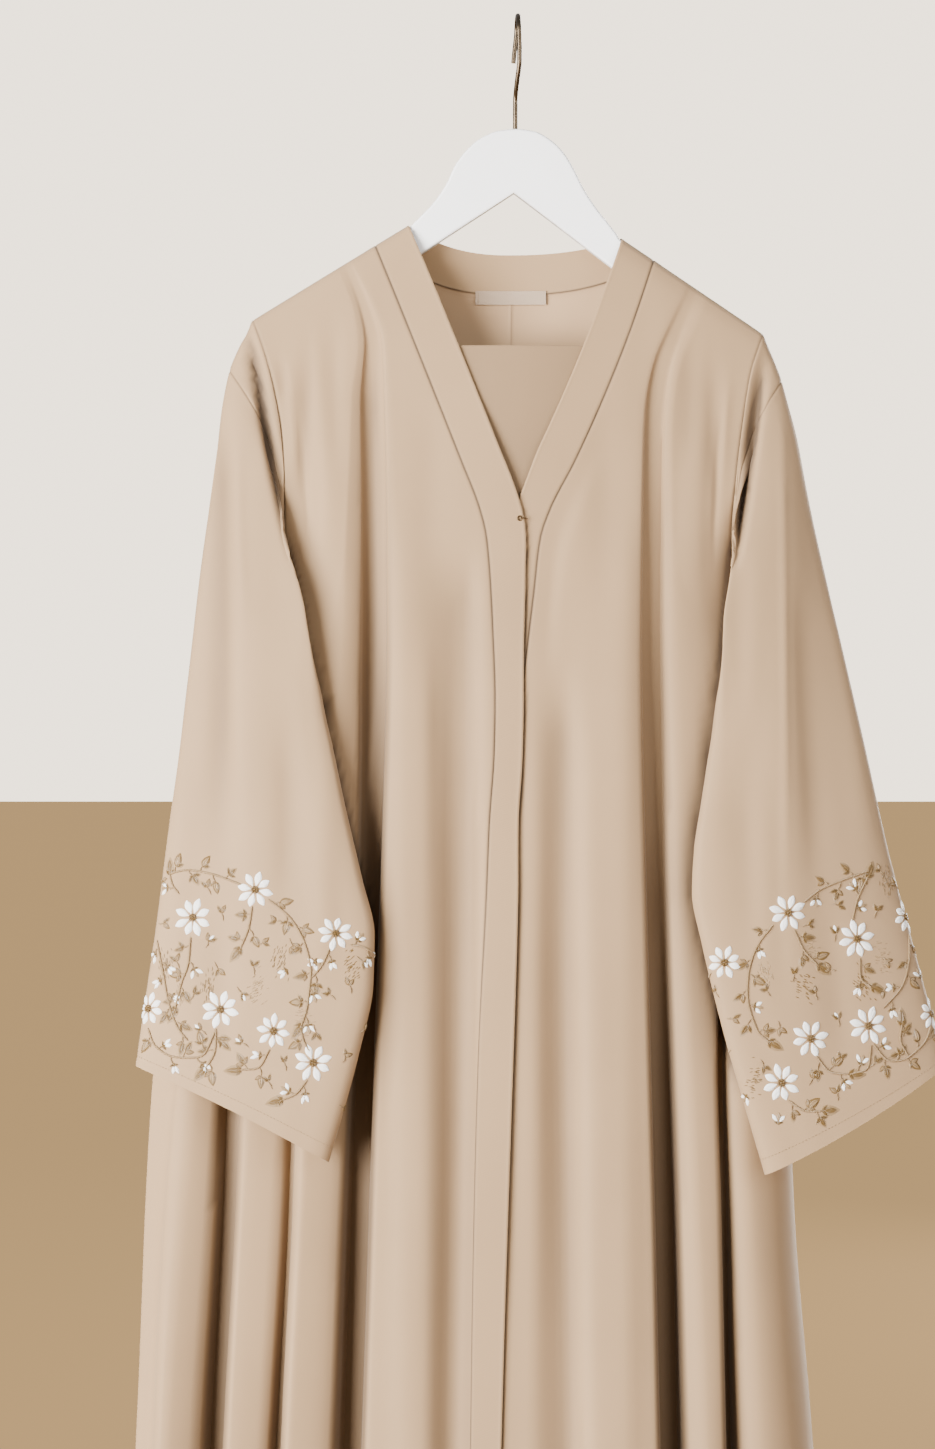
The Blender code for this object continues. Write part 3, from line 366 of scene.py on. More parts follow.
# A cuff's embroidery lies at s, round the sleeve from its outer corner along the front, and t, up
# from the hem. Daisies: s, t, width across and turn in degrees.
DAISIES = {
    LEFT: (
        (97, 189, 33, 10), (41, 143, 34, 0), (176, 185, 31, 14), (9, 52, 30, 4), (77, 77, 34, 8),
        (129, 80, 30, 18), (169, 71, 33, 0), (232, 178, 32, 20), (292, 140, 33, 6), (240, 84, 33, 12),
        (300, 66, 31, 0), (351, 178, 33, 16), (356, 92, 30, 9),
    ),
    RIGHT: (
        (118, 197, 33, 0), (60, 144, 34, 18), (2, 134, 31, 8), (125, 89, 33, 12), (70, 72, 34, 2),
        (3, 47, 30, 15), (160, 67, 33, 8), (184, 184, 30, 0), (240, 150, 33, 12), (296, 186, 32, 4),
        (300, 104, 33, 16), (246, 70, 31, 0), (350, 64, 33, 10),
    ),
}
# Vines through points of s and t, and the numbers of those that end in a leaf.
VINES = {
    LEFT: (
        ((14, 172), (34, 182), (62, 187), (84, 188)),
        ((110, 186), (130, 180), (148, 164), (157, 140), (157, 116), (154, 96)),
        ((172, 170), (166, 152), (158, 138)), ((96, 174), (95, 156), (89, 134)),
        ((41, 126), (42, 104), (38, 84), (36, 62)), ((8, 112), (18, 90), (30, 62), (42, 46), (52, 40)),
        ((12, 36), (22, 24), (36, 21), (54, 26), (68, 34), (76, 60)), ((76, 60), (78, 42), (72, 24)),
        ((128, 64), (121, 46), (104, 36)), ((166, 55), (158, 40), (146, 29)),
        ((154, 92), (158, 84), (166, 78)), ((26, 158), (18, 164), (14, 172)),
        ((190, 182), (206, 186), (220, 182)), ((246, 176), (268, 164), (284, 150)),
        ((292, 124), (288, 104), (276, 90), (254, 86)), ((300, 84), (302, 104), (310, 120)),
        ((238, 68), (232, 48), (218, 36)), ((306, 148), (328, 166), (340, 174)),
        ((356, 108), (362, 130), (358, 158)), ((300, 50), (312, 34), (334, 26), (352, 34), (356, 76)),
    ),
    RIGHT: (
        ((32, 190), (58, 196), (84, 200), (102, 198)),
        ((134, 194), (152, 184), (166, 164), (172, 140), (170, 118), (162, 104)),
        ((116, 181), (112, 162), (102, 142)), ((60, 160), (50, 174), (34, 186)),
        ((62, 128), (66, 112), (58, 100)), ((124, 74), (116, 56), (98, 44)), ((98, 44), (82, 40), (72, 56)),
        ((158, 51), (146, 36), (130, 28)), ((6, 120), (16, 98), (30, 84), (52, 78)),
        ((70, 56), (60, 36), (40, 28), (22, 30), (8, 40)), ((40, 28), (44, 44), (38, 56)),
        ((198, 180), (214, 170), (228, 160)), ((254, 158), (272, 172), (284, 180)),
        ((298, 170), (300, 148), (300, 122)), ((240, 134), (236, 112), (244, 88)),
        ((246, 54), (240, 40), (226, 32)), ((300, 88), (304, 64), (318, 46), (336, 52)),
        ((312, 190), (334, 184), (350, 168)), ((356, 78), (362, 100), (370, 120)),
    ),
}
TIPPED = {LEFT: (1, 3, 4, 7, 8, 9, 11, 15, 16), RIGHT: (1, 2, 3, 4, 5, 7, 10, 15, 17, 18)}
VINE_RADIUS, VINE_STEP, CORD_SIDES = 0.88, 1.1, 8
TWIST, STRANDS_DEEP, CORD_TIP, CORD_RISE = 1.7, 0.24, 0.35, 0.55  # the last three as shares of its radius
SPRIG_EVERY, SPRIG_END, STALK_BEND = 12.5, 5, 1.2
STALK_THIN, SPROUT_THIN = 0.8, 0.75
# Shapes of blades: their width and height, how far out they start, how deep their vein is and how
# pointed they are. A leaf's width and start are shares of its length.
SATIN = dict(high=1.5, vein=0.25, point=1.25)
LEAF_UNDER, LEAF_OVER = dict(high=0.8, vein=0.3, point=0.72), dict(high=1.4, vein=0.55, point=0.72)
LEAF_WIDE, OVER_LONG, OVER_WIDE, OVER_ROOT = 0.66, 0.8, 0.42, 0.06
BUD_PETAL = dict(wide=3.6, high=1.2, root=1.6, vein=0.3, point=1.1, rows=7, columns=5)
SPROUT_PETAL = dict(wide=3.2, high=1.3, root=0.6, vein=0.3, point=1.1, rows=7, columns=5)
CUP = dict(length=4.2, wide=3.4, high=1.0, root=-1.6, vein=0.3, rows=6, columns=5)
SEED = dict(wide=1.25, high=0.5, root=0.0, rows=4, columns=4)
BLADE_SUNK, VEIN_HALF, BLADE_BODY, BLADE_DOME, BLADE_ENDS = 0.15, 0.22, 0.75, 0.6, (0.02, 0.98)
PETALS, PETAL_ROOT, PETAL_WIDE = 8, 3.6, 0.2
PETAL_LONG, PETAL_LEAN = (0.97, 0.05, 2.3), (3, 1.7)  # mean and change of length, and turn, with their waves
KNOT, KNOT_ARC, KNOT_RISE = 1.35, (0.02, 0.55), 0.55
CENTRE_KNOTS = ((1, 0.0, 0.5), (6, 2.3, 0.1))  # knots of a daisy's centre: count, radius and height
# Turns of a sprig's side leaves, of those at a vine's tip, of a sprout's, of a bud's and of its petals.
SIDE_TURNS, TIP_TURNS, SPROUT_TURNS, BUD_TURNS, BUD_SPREAD = (-60, 60), (-42, 42), (-34, 34), (-75, 75), 38
TIP_LEAF, TIP_SIDE_LEAF, BUD_LEAF = 15.0, 7.5, 4.6
DRIFT_COUNT, DRIFT_SIZE = 14, (3.8, 6.5)  # patches of seed stitches, and their spread in s and t
DRIFT_THREADS = (GOLD_THREAD, BEIGE_THREAD)
SPROUT_TRIES, SPROUT_CLEAR = 340, (22.0, 11.0)  # and how far a sprout stays from daisies and from vines
SPROUT_STALK = (6.5, 3.0, 0.2)  # lengths back to its foot and to its bend, and the bend in radians
# Shares: leaves outlined in gold, sprigs with leaves, sprouts with a petal, and buds among sprouts.
OUTLINED, LEAFY, PETALLED, BUDS = 0.4, 0.62, 0.35, 0.12
# Ranges of random draws, in millimetres, degrees or shares.
SPRIG_START, SPRIG_LEAN, STALK_LONG = (0.4, 0.6), (48, 66), (4.5, 7.5)
LEAF_LONG, SIDE_LEAF_LONG, SPROUT_LEAF_LONG = (9.5, 13.0), (6.0, 8.5), (6.5, 9.0)
SPROUT_PETAL_LONG, BUD_PETAL_LONG = (5.5, 7.0), (6.2, 7.8)
SEED_COUNT, SEED_LONG, DRIFT_S, DRIFT_T, DRIFT_TURN = (34, 56), (3.0, 4.6), (0.2, 0.8), (60, 175), (20, 160)
SPROUT_T, LEAF_LEAN, STITCH_LEAN = (34, 190), (-8, 8), (-12, 12)
LATTICE_STEP, LATTICE_LOW, LATTICE_HIGH, LATTICE_PAST = 2.0, -6.0, 235.0, 60.0
INSIDE = 1.001  # keeps a look-up inside the lattice's last cell
RANDOM_START = {LEFT: 7, RIGHT: 11}
STITCH_SIDES = 6
# Along a stitch: shares of its length, and its width and height there as shares of its radius.
STITCH_MARKS, STITCH_WIDE, STITCH_RISE = (0.0, 0.25, 0.75, 1.0), (0.5, 1.0, 1.0, 0.5), (-0.6, 0.5, 0.5, -0.6)
CUFF_STITCH, LABEL_STITCH = (3.2, 2.3, 0.32), (2.0, 1.4, 0.14)  # pitch, length and radius

# ---- sheets and setting ----

CAMERA = dict(place=(-0.0452, -3.2, -0.62834), lens=89.33, sensor=36.0, far=200.0)
FLOOR_Z, FLOOR_HALF = -1.66, 45.0
FLOOR_LOW, FLOOR_HIGH, FLOOR_GLOW = (0.045, 0.028, 0.012), (0.05, 0.031, 0.014), (0.58, 0.365, 0.162)
KEY_COLOUR, REAR_COLOUR, FILL_COLOUR = (1.0, 0.97, 0.93), (1.0, 0.98, 0.95), (1.0, 0.98, 0.96)
WORLD_COLOUR, WORLD_POWER = (0.95, 0.97, 1.0), 0.66
BACKDROP_COLOUR, BACKDROP_HALF = (3.15, 2.73, 2.20), 60.0
LIGHTS = {
    "key": dict(place=(-2.4, -2.2, -0.5), aim=(0, 0, -0.8), size=(2.0, 2.2), power=590, colour=KEY_COLOUR),
    "rear": dict(place=(2.2, 3.2, 0.1), aim=(0, 0, -0.8), size=(2.4, 2.6), power=400, colour=REAR_COLOUR),
    "fill": dict(place=(2.4, -3.2, 0.3), aim=(0, 0, -0.7), size=(2.0, 2.0), power=110, colour=FILL_COLOUR),
}
PIECES = bpy.data.collections.new("fine_pieces")
bpy.context.scene.collection.children.link(PIECES)


# ---- curves and grids ----


def through(keys, values, at):
    """A smooth curve through a short table, which never overshoots between two of its points."""
    x = np.asarray(keys, float)
    y = np.asarray(values, float)
    if x[0] > x[-1]:
        x, y = x[::-1], y[::-1]
    step = np.diff(x)
    slope = np.diff(y) / step
    tangent = np.concatenate([slope[:1], np.zeros(len(slope) - 1), slope[-1:]])
    turning = slope[:-1] * slope[1:] > 0
    near, far = slope[:-1][turning], slope[1:][turning]
    heavy = (2 * step[1:] + step[:-1])[turning]
    light = (step[1:] + 2 * step[:-1])[turning]
    tangent[1:-1][turning] = (heavy + light) / (heavy / near + light / far)
    at = np.clip(at, x[0], x[-1])
    i = np.clip(np.searchsorted(x, at) - 1, 0, len(step) - 1)
    t = (at - x[i]) / step[i]
    ends = y[i] * (1 + 2 * t) * (1 - t) ** 2 + y[i + 1] * t * t * (3 - 2 * t)
    return ends + step[i] * (tangent[i] * t * (1 - t) ** 2 - tangent[i + 1] * t * t * (1 - t))


def x_at(line, z):
    """x at the heights z of a line that a table gives as heights and x."""
    return through(line["z"], line["x"], z)


def ease(t):
    t = np.clip(t, 0.0, 1.0)
    return t * t * (3 - 2 * t)


def mix(a, b, t):
    return a + (b - a) * t


def hump(away, half):
    """A soft hump over the distance away from its middle."""
    return np.exp(-((away / half) ** 2))


def unit(v):
    return v / np.maximum(np.linalg.norm(v, axis=-1, keepdims=True), 1e-9)


def reach(points, axis=0):
    """Distance of each point of a line, or of a grid along one axis, from the first."""
    step = np.linalg.norm(np.diff(points, axis=axis), axis=-1)
    return np.concatenate([np.zeros_like(step.take([0], axis)), np.cumsum(step, axis=axis)], axis)


def ringed(grid):
    """A closed grid with its first column again at its end."""
    return np.concatenate([grid, grid[:, :1]], 1)


def spacing(grid, axis, closed=False):
    """Mean length of each step along a grid's axis, over the whole grid."""
    step = np.linalg.norm(np.diff(grid, axis=axis), axis=2).mean(axis=1 - axis)
    if closed:
        gap = np.linalg.norm(grid.take(0, axis) - grid.take(-1, axis), axis=1).mean()
        step = np.append(step, gap)
    return step


def stations(lengths, size, first=False, last=False):
    """Fractional indices along a grid line, about size apart and closer beside a seam at either end."""
    lengths = np.asarray(lengths, float)
    along = np.concatenate([[0.0], np.cumsum(lengths)])
    marks = np.arange(len(along), dtype=float)
    found = [np.linspace(i, i + 1, max(1, round(long / size)) + 1) for i, long in enumerate(lengths)]
    if first:
        found.append(np.interp(NEAR_SEAM, along, marks))
    if last:
        found.append(np.interp(along[-1] - NEAR_SEAM, along, marks))
    found = np.sort(np.concatenate(found))
    kept = [0.0]
    for mark in found[1:]:
        if np.interp(mark, marks, along) - np.interp(kept[-1], marks, along) > LEAST_STEP:
            kept.append(float(mark))
    kept[-1] = marks[-1]
    return np.array(kept)


def curve_at(values, at, axis, closed=False):
    """Smooth curves through a grid's points along one axis, at fractional indices."""
    points = np.moveaxis(values, axis, 0)
    if closed:
        points = np.concatenate([points[-2:], points, points[:3]])
        at = at + 2
    step = np.diff(points, axis=0)
    near, far = step[:-1], step[1:]
    turning = near * far > 0
    inner = np.where(turning, 2 * near * far / np.where(turning, near + far, 1), 0)
    tangent = np.concatenate([step[:1], inner, step[-1:]])
    i = np.clip(at.astype(int), 0, len(step) - 1)
    t = (at - i).reshape((-1,) + (1,) * (points.ndim - 1))
    ends = points[i] * (1 + 2 * t) * (1 - t) ** 2 + points[i + 1] * t * t * (3 - 2 * t)
    found = ends + tangent[i] * t * (1 - t) ** 2 - tangent[i + 1] * t * t * (1 - t)
    return np.moveaxis(found, 0, axis)


def smooth_line(points, step):
    """Points about step apart on a smooth curve through the given ones."""
    points = np.array(points, float)
    lengths = np.linalg.norm(np.diff(points, axis=0), axis=1)
    return curve_at(points, stations(lengths, step), 0)


def normals(grid, outward, closed=False):
    """Unit normals of a grid, halfway between its faces', most of them on the side of outward."""
    ring = ringed(grid) if closed else grid
    face = unit(np.cross(ring[1:, 1:] - ring[:-1, :-1], ring[1:, :-1] - ring[:-1, 1:]))
    wide = np.pad(face, ((1, 1), (1, 1), (0, 0)), mode="edge")
    if closed:
        wide[:, 0], wide[:, -1] = wide[:, -2], wide[:, 1]
    found = unit(wide[1:, 1:] + wide[:-1, 1:] + wide[1:, :-1] + wide[:-1, :-1])
    found = found[:, :-1] if closed else found
    return found if (found * outward).sum() > 0 else -found


def away_from(grid, edge):
    """Distance of each of a grid's points from an edge, along the grid."""
    axis, end = EDGES[edge]
    away = reach(grid, axis)
    return away if end == 0 else away.take([-1], axis) - away


def strip_faces(rows, columns, wrapped=False):
    """Four corners of each face of a grid whose points are numbered row by row."""
    wide = columns if wrapped else columns - 1
    r, c = np.meshgrid(np.arange(rows - 1), np.arange(wide), indexing="ij")
    r, c = r.ravel(), c.ravel()
    low, high, after = r * columns, (r + 1) * columns, (c + 1) % columns
    return np.stack([low + c, low + after, high + after, high + c], 1)


# ---- the hung garment's form ----


def roof(x):
    """Height of the shoulder line over x, with the two lines joined by a round ridge at the neck."""
    lines = []
    for side in SIDES:
        (x0, z0), (x1, z1) = SHOULDER[side]["seam"], SHOULDER[side]["tip"]
        lines.append(z0 + (z1 - z0) / (x1 - x0) * (x - x0))
    half = (lines[0] - lines[1]) / 2
    return (lines[0] + lines[1]) / 2 - np.sqrt(half * half + ROOF_ROUND**2)


def tip_z(side):
    return roof(SHOULDER[side]["tip"][0])


def hole_depth(side, z):
    """Depth of the armhole's edge at a height, and nearly 0 below the underarm."""
    share = np.clip((tip_z(side) - z) / UNDERARM_DROP, LEAST_SHARE, 1)
    return HOLE_DEPTH * np.sin(np.pi * share) ** HOLE_SHAPE


def hang(side, face, x, z):
    """Depth of the smooth garment at x and z, before its folds: face is "front" or "back"."""
    depth = through(DRAPE["drop"], DRAPE[face], roof(x) - z)
    depth = depth * (1 - SIDE_SHALLOW * ease((np.abs(x - MIDDLE_X) - SHALLOW_START) / SHALLOW_RUN))
    rim = np.minimum(hole_depth(side, z), depth)
    width = mix(*SIDE_ROUND, ease((tip_z(side) - z - SIDE_ROUND_START) / SIDE_ROUND_RUN))
    inward = np.clip(np.abs(x_at(EDGE[side], z) - x) / width, 0, 1)
    return rim + (np.maximum(depth, rim) - rim) * np.sqrt(1 - (1 - inward) ** 2)


def lapped(z):
    """How far the right front's edge lies behind the left band: nothing above the V, LAP below it."""
    return LAP * ease((LAP_START - z) / LAP_RUN)


def growth(z, start):
    return np.clip((start - z) / (start - HEM_Z), 0, 1)


def row_z(tip, top):
    """Heights of the rows of a column from its top down, level with the tip's from the underarm."""
    drops = np.array(ROW_DROPS, float)
    upper = mix(top, tip, drops / UNDERARM_DROP) - drops
    lower = mix(upper[-1], HEM_Z, np.array(ROW_SHARES))
    return np.concatenate([upper, lower])


def front_column(side, index, z):
    """x and fold depth of one column of a front at the heights z. Column 0 is the band's seam."""
    folds, dip = FOLDS[side], DIP[side]
    inner, outer = x_at(BAND_SEAM[side], z), x_at(EDGE[side], z)
    edges = [through(FOLD_Z[-len(fold["x"]):], fold["x"], z) for fold in folds] + [outer]
    if index < CENTRE_COLUMNS:
        dip_x = x_at(dip, z)
        shoulder = dip_x + side * dip["half"]
        placed = (inner, mix(inner, dip_x, 0.5), dip_x, shoulder, mix(shoulder, edges[0], LAST_CENTRE))
        even = mix(inner, edges[0] - side * FOLD_LIP, index / CENTRE_COLUMNS)
        x = mix(even, placed[index], ease((CENTRE_START - z) / CENTRE_RUN))
        behind = dip["deep"] * ease((DIP_START - z) / DIP_RUN) * DIP_LEVELS[index]
        if side == RIGHT:
            behind = np.maximum(behind, lapped(z) * LAP_LEVELS[index])
        return x, behind
    number, part = divmod(index - CENTRE_COLUMNS, FOLD_COLUMNS)
    if number < len(folds):
        fold = folds[number]
        grown = growth(z, fold["start"])
        room = np.abs(edges[number + 1] - edges[number])
        floor = np.minimum(fold["floor"], FLOOR_MOST * room)
        if fold["rise"]:
            rise = np.minimum(fold["rise"] * grown**RISE_GROWTH + RISE_LEAST, room - floor - RISE_ROOM)
        else:
            rise = LAST_RISE * (room - floor)
        across = (-FOLD_LIP, 0.0, FOLD_TURN, floor, floor + FIRST_RISE * rise, floor + rise)[part]
        level = (FOLD_LEVELS if fold["rise"] else LAST_FOLD_LEVELS)[part]
        return edges[number] + side * across, fold["deep"] * grown**FOLD_GROWTH * level
    last = CENTRE_COLUMNS + FOLD_COLUMNS * len(folds) - 1
    x, behind = front_column(side, last, z)
    return mix(x, outer, SIDE_SHARES[part]), behind


def front_grid(side):
    """Outer face of a front as (rows, columns, 3), from the band's seam to the armhole and side seam."""
    count = CENTRE_COLUMNS + FOLD_COLUMNS * len(FOLDS[side]) + SIDE_COLUMNS
    seam, tip = SHOULDER[side]["seam"], SHOULDER[side]["tip"]
    lowest = tip_z(side)
    side_z = row_z(lowest, lowest)
    seam_x = x_at(BAND_SEAM[side], row_z(lowest, roof(seam[0])))
    side_x = x_at(EDGE[side], side_z)
    drops = side_z[0] - side_z
    steady = CENTRE_COLUMNS + FOLD_COLUMNS - 1
    grid = np.zeros((len(drops), count, 3))
    for index in range(count):
        share = index / (count - 1)
        z = row_z(lowest, roof(mix(seam[0], tip[0], share)))
        x, behind = front_column(side, index, z)
        if index > steady:
            start = front_column(side, steady, z)[0]
            even = mix(start, side_x, (index - steady) / (count - 1 - steady))
            x = mix(even, x, ease((UNDERARM_SPREAD[0] - z) / UNDERARM_SPREAD[1]))
        x = mix(mix(seam_x, side_x, share), x, ease(drops / TOP_SPREAD))
        depth = hang(side, "front", x, z)
        grid[:, index] = np.stack([x, np.minimum(behind, FOLD_SHARE * depth) - depth, z], 1)
    return grid


def band_end(side):
    """x and z of the band's free edge on the shoulder line."""
    x = SHOULDER[side]["seam"][0]
    aside = SHOULDER[side]["free"][0] - x
    scale = BAND_WIDTH / math.hypot(aside, roof(x + aside) - roof(x))
    return x + aside * scale, roof(x + aside * scale)


def neck_point(side, share, part):
    """x and z on the back neckline at a share of the way from the shoulder to the centre back."""
    seam = SHOULDER[side]["seam"]
    x, z = (seam[0], roof(seam[0])) if part == "seam" else band_end(side)
    return mix(x, CENTRE_BACK["x"][0], share), mix(z, NECK_LOW[part], 1 - (1 - share) ** NECK_SHAPE)


def back_grid(side):
    """Outer face of a back, from the centre-back seam to the armhole and side seam."""
    seam, tip = SHOULDER[side]["seam"], SHOULDER[side]["tip"]
    level = (tip_z(LEFT) + tip_z(RIGHT)) / 2
    side_z = row_z(tip_z(side), tip_z(side))
    drops = side_z[0] - side_z
    grid = np.zeros((len(drops), BACK_COLUMNS, 3))
    middle = BACK_COLUMNS // 2
    folds = BACK_FOLDS[side]
    for index in range(BACK_COLUMNS):
        share = index / (BACK_COLUMNS - 1)
        if index < middle:
            top_x, top = neck_point(side, NECK_SHARES[middle - index], "seam")
        else:
            top_x = mix(seam[0], tip[0], index / middle - 1)
            top = roof(top_x)
        z = row_z(mix(level, tip_z(side), share), top)
        even = mix(x_at(CENTRE_BACK, z), x_at(EDGE[side], z), share)
        hung = top_x + (x_at(EDGE[side], z) - tip[0]) * share**3
        x = mix(hung, even, ease(drops / BACK_SPREAD))
        depth = hang(side, "back", x, z)
        behind = 0
        for at, half, deep in zip(folds["at"], folds["half"], folds["deep"]):
            near = np.clip(1 - abs(1 - share - at) / half, 0, 1)
            behind = behind + deep * np.sin(near * np.pi / 2) ** 2
        behind = behind * growth(z, BACK_FOLD_START) ** BACK_GROWTH
        grid[:, index] = np.stack([x, depth - np.minimum(behind, FOLD_SHARE * depth), z], 1)
    return grid


def band_grid(side, seam):
    """Outer face of a band and its placket, three columns from the seam with the front to the free edge."""
    x, z = seam[:, 0], seam[:, 2]
    along = np.gradient(seam[:, [0, 2]], axis=0)
    along /= np.linalg.norm(along, axis=1)[:, None]
    square = np.stack([along[:, 1] * side, -along[:, 0] * side], 1)
    end = np.array(band_end(side)) - (x[0], z[0])
    end /= np.linalg.norm(end)
    turned = ease((z[0] - z - BAND_TURN) / BAND_TURN_RUN)[:, None]
    across = mix(end[None], square, turned)
    across /= np.linalg.norm(across, axis=1)[:, None]
    width = through(PLACKET_WIDTH[side]["z"], PLACKET_WIDTH[side]["wide"], z)
    grid = np.zeros((len(x), 3, 3))
    for index, share in enumerate((0.0, 0.5, 1.0)):
        px = x + across[:, 0] * width * share
        pz = z + across[:, 1] * width * share
        depth = hang(side, "front", px, pz)
        behind = lapped(pz) if side == RIGHT else 0
        grid[:, index] = np.stack([px, behind - depth, pz], 1)
    return grid


def sleeve_grid(side, front, back):
    """Outer face of the sleeve cap and sleeve: loops from the armhole to the cuff, from the shoulder's
    tip down the front to the underarm and up the back. The first loop is the armhole of the panels."""
    last = UNDERARM_ROW
    share = np.array(ROW_DROPS, float) / UNDERARM_DROP
    belly = 4 * share * (1 - share)
    rounding = (2 * np.sqrt(share * (1 - share))) ** SLEEVE_ROUND
    loops = [np.concatenate([front[: last + 1, -1], back[last - 1 : 0 : -1, -1]])]
    for corners, depths in zip(SLEEVES[side], SLEEVE_DEPTHS):
        outer = np.array([corners[0], depths[0], corners[1]], float)
        inner = np.array([corners[2], depths[1], corners[3]], float)
        line = mix(outer[None], inner[None], share[:, None])
        run = (inner - outer) / math.hypot(inner[0] - outer[0], inner[2] - outer[2])
        toward = np.array([-run[2], 0.0, run[0]]) * -side
        halves = []
        for stand, bow in zip(depths[2:], corners[4:]):
            half = line + toward[None] * (bow * belly)[:, None]
            half[:, 1] += stand * rounding
            halves.append(half)
        loops.append(np.concatenate([halves[0], halves[1][last - 1 : 0 : -1]]))
    return np.array(loops)


# ---- creases, edges and painted shade of the fine grids ----


def edged(grid, normal, edges, profile=ROLL):
    """The grid with a profile along its named edges. A ROLL turns each in, as at a pressed seam."""
    moved = grid.copy()
    for edge in edges:
        away = away_from(grid, edge)
        lift = sum(high * hump(away - at, half) for high, at, half in profile)
        moved += normal * lift[..., None]
    return moved


def creased(grid, normal, strokes, mask=1.0):
    """The grid with soft troughs and ridges along a table's strokes, and the painted shade of its troughs."""
    moved, shade_to_paint = grid.copy(), np.zeros(grid.shape[:2])
    for x0, z0, x1, z1, bow, left, right, high in strokes:
        run = np.array([x1 - x0, z1 - z0], float)
        length = np.linalg.norm(run)
        run /= length
        flat = grid[..., [0, 2]] - (x0, z0)
        share = np.clip(flat @ run / length, 0, 1)
        aside = flat @ np.array([-run[1], run[0]]) - bow * 4 * share * (1 - share)
        fade = ease(share * length / min(CREASE_IN, CREASE_IN_SHARE * length))
        fade = fade * ease((1 - share) / CREASE_OUT)
        lift = high * fade * hump(aside, np.where(aside > 0, right, left)) * mask
        moved += normal * lift[..., None]
        narrow = NARROW / max(left, right, NARROW)
        shade_to_paint = np.maximum(shade_to_paint, np.clip(-lift / PAINTED_SHADE_DEPTH, 0, 1) ** 2 * narrow)
    return moved, shade_to_paint


def drifted(grid, normal, seed):
    """The grid with a slow unevenness, longer down the cloth than across it."""
    rng = np.random.default_rng(seed)
    lift = np.zeros(grid.shape[:2])
    for _ in range(DRIFT_WAVES):
        across, down, phase = rng.uniform(*DRIFT_ACROSS), rng.uniform(*DRIFT_DOWN), rng.uniform(*DRIFT_PHASE)
        lift += np.sin(grid[..., 0] * across + grid[..., 2] * down + phase)
    held = ease(away_from(grid, "first_row") / DRIFT_HELD)
    return grid + normal * (DRIFT * held * lift / math.sqrt(DRIFT_WAVES))[..., None]


def hollows(grid, forward):
    """Painted shade in folds: how deep each point lies in a fold between cloth on both sides of it, from 0 to
    1.
    """
    found = np.zeros(grid.shape[:2])
    for row in range(len(grid)):
        x, out = grid[row, :, 0], grid[row, :, 1] * forward
        gap = x[None] - x[:, None]
        near = np.where((gap > 0) & (gap < HOLLOW_REACH), out[None], -FAR).max(axis=1)
        far = np.where((gap < 0) & (gap > -HOLLOW_REACH), out[None], -FAR).max(axis=1)
        depth = ease((np.minimum(near, far) - out - HOLLOW_LEAST) / HOLLOW_RUN)
        found[row] = np.where(np.abs(gap) < HOLLOW_SPREAD, depth[None], 0).max(axis=1)
    return FOLD_SHADE * found


def seam_shade(grid, edges, deep=SEAM_SHADE):
    """Painted shade in the groove of a seam: how deep each point lies in it, from 0 to 1."""
    return np.maximum.reduce([deep * hump(away_from(grid, edge), SEAM_REACH) for edge in edges])


def lap_shade(grid, lap_x):
    """Painted shadow of the lapped edge at lap_x in its row: how near each point lies to it, from 0 to 1."""
    below = ease((LAP_START - grid[..., 2]) / LAP_SHADE_RUN)
    return SEAM_SHADE * below * hump(grid[..., 0] - lap_x[:, None], LAP_REACH)


def contact_shade(grid, side, loops):
    """Painted shade under a sleeve's inner edge or close beside it: how deep each point of a front lies
    there, from 0 to 1.
    """
    inmost = np.argmin(loops[..., 0] * side, axis=1)
    edge = loops[np.arange(len(loops)), inmost]
    edge = edge[np.argsort(edge[:, 2])]
    away = np.interp(grid[..., 2], edge[:, 2], edge[:, 0] * side) - grid[..., 0] * side
    away = np.where(away < 0, -away - CONTACT_UNDER, away)
    away = np.maximum(away, 0)
    z = grid[..., 2]
    held = ease((CONTACT_Z[0] - z) / CONTACT_RUN) * ease((z - CONTACT_Z[1]) / CONTACT_RUN)
    parts = zip(CONTACT[side], CONTACT_REACH[side])
    return np.minimum(held * sum(deep * np.exp(-away / wide) for deep, wide in parts), 1.0)


def hemmed(grid, wide):
    """Thickness of a wall that is doubled within wide of its last row."""
    return THIN * (1 + ease((wide - away_from(grid, "last_row")) / HEM_EASE))


# ---- objects ----


def riding(name, data, finishes):
    """The object of a piece, which rides on the body."""
    for finish in finishes:
        data.materials.append(finish)
    made = bpy.data.objects.new(name, data)
    PIECES.objects.link(made)
    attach(made, "root")
    return made


def stands_for(node):
    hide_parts(node)


def finished(made, node, pieces=()):
    """Hides the CAD node that a sheet of cloth stands for."""
    stands_for(node)


def piece(name, points, faces, uvs, finishes, slots=None):
    """A mesh object in metres from points in millimetres."""
    mesh = bpy.data.meshes.new(name)
    mesh.from_pydata((points * MM).tolist(), [], faces.tolist())
    layer = mesh.uv_layers.new(name="cloth")
    layer.data.foreach_set("uv", (uvs * MM).ravel())
    made = riding(name, mesh, finishes)
    if slots is not None:
        mesh.polygons.foreach_set("material_index", slots)
    mesh.shade_smooth()
    mesh.set_sharp_from_angle(angle=SHARP_ANGLE)
    return made


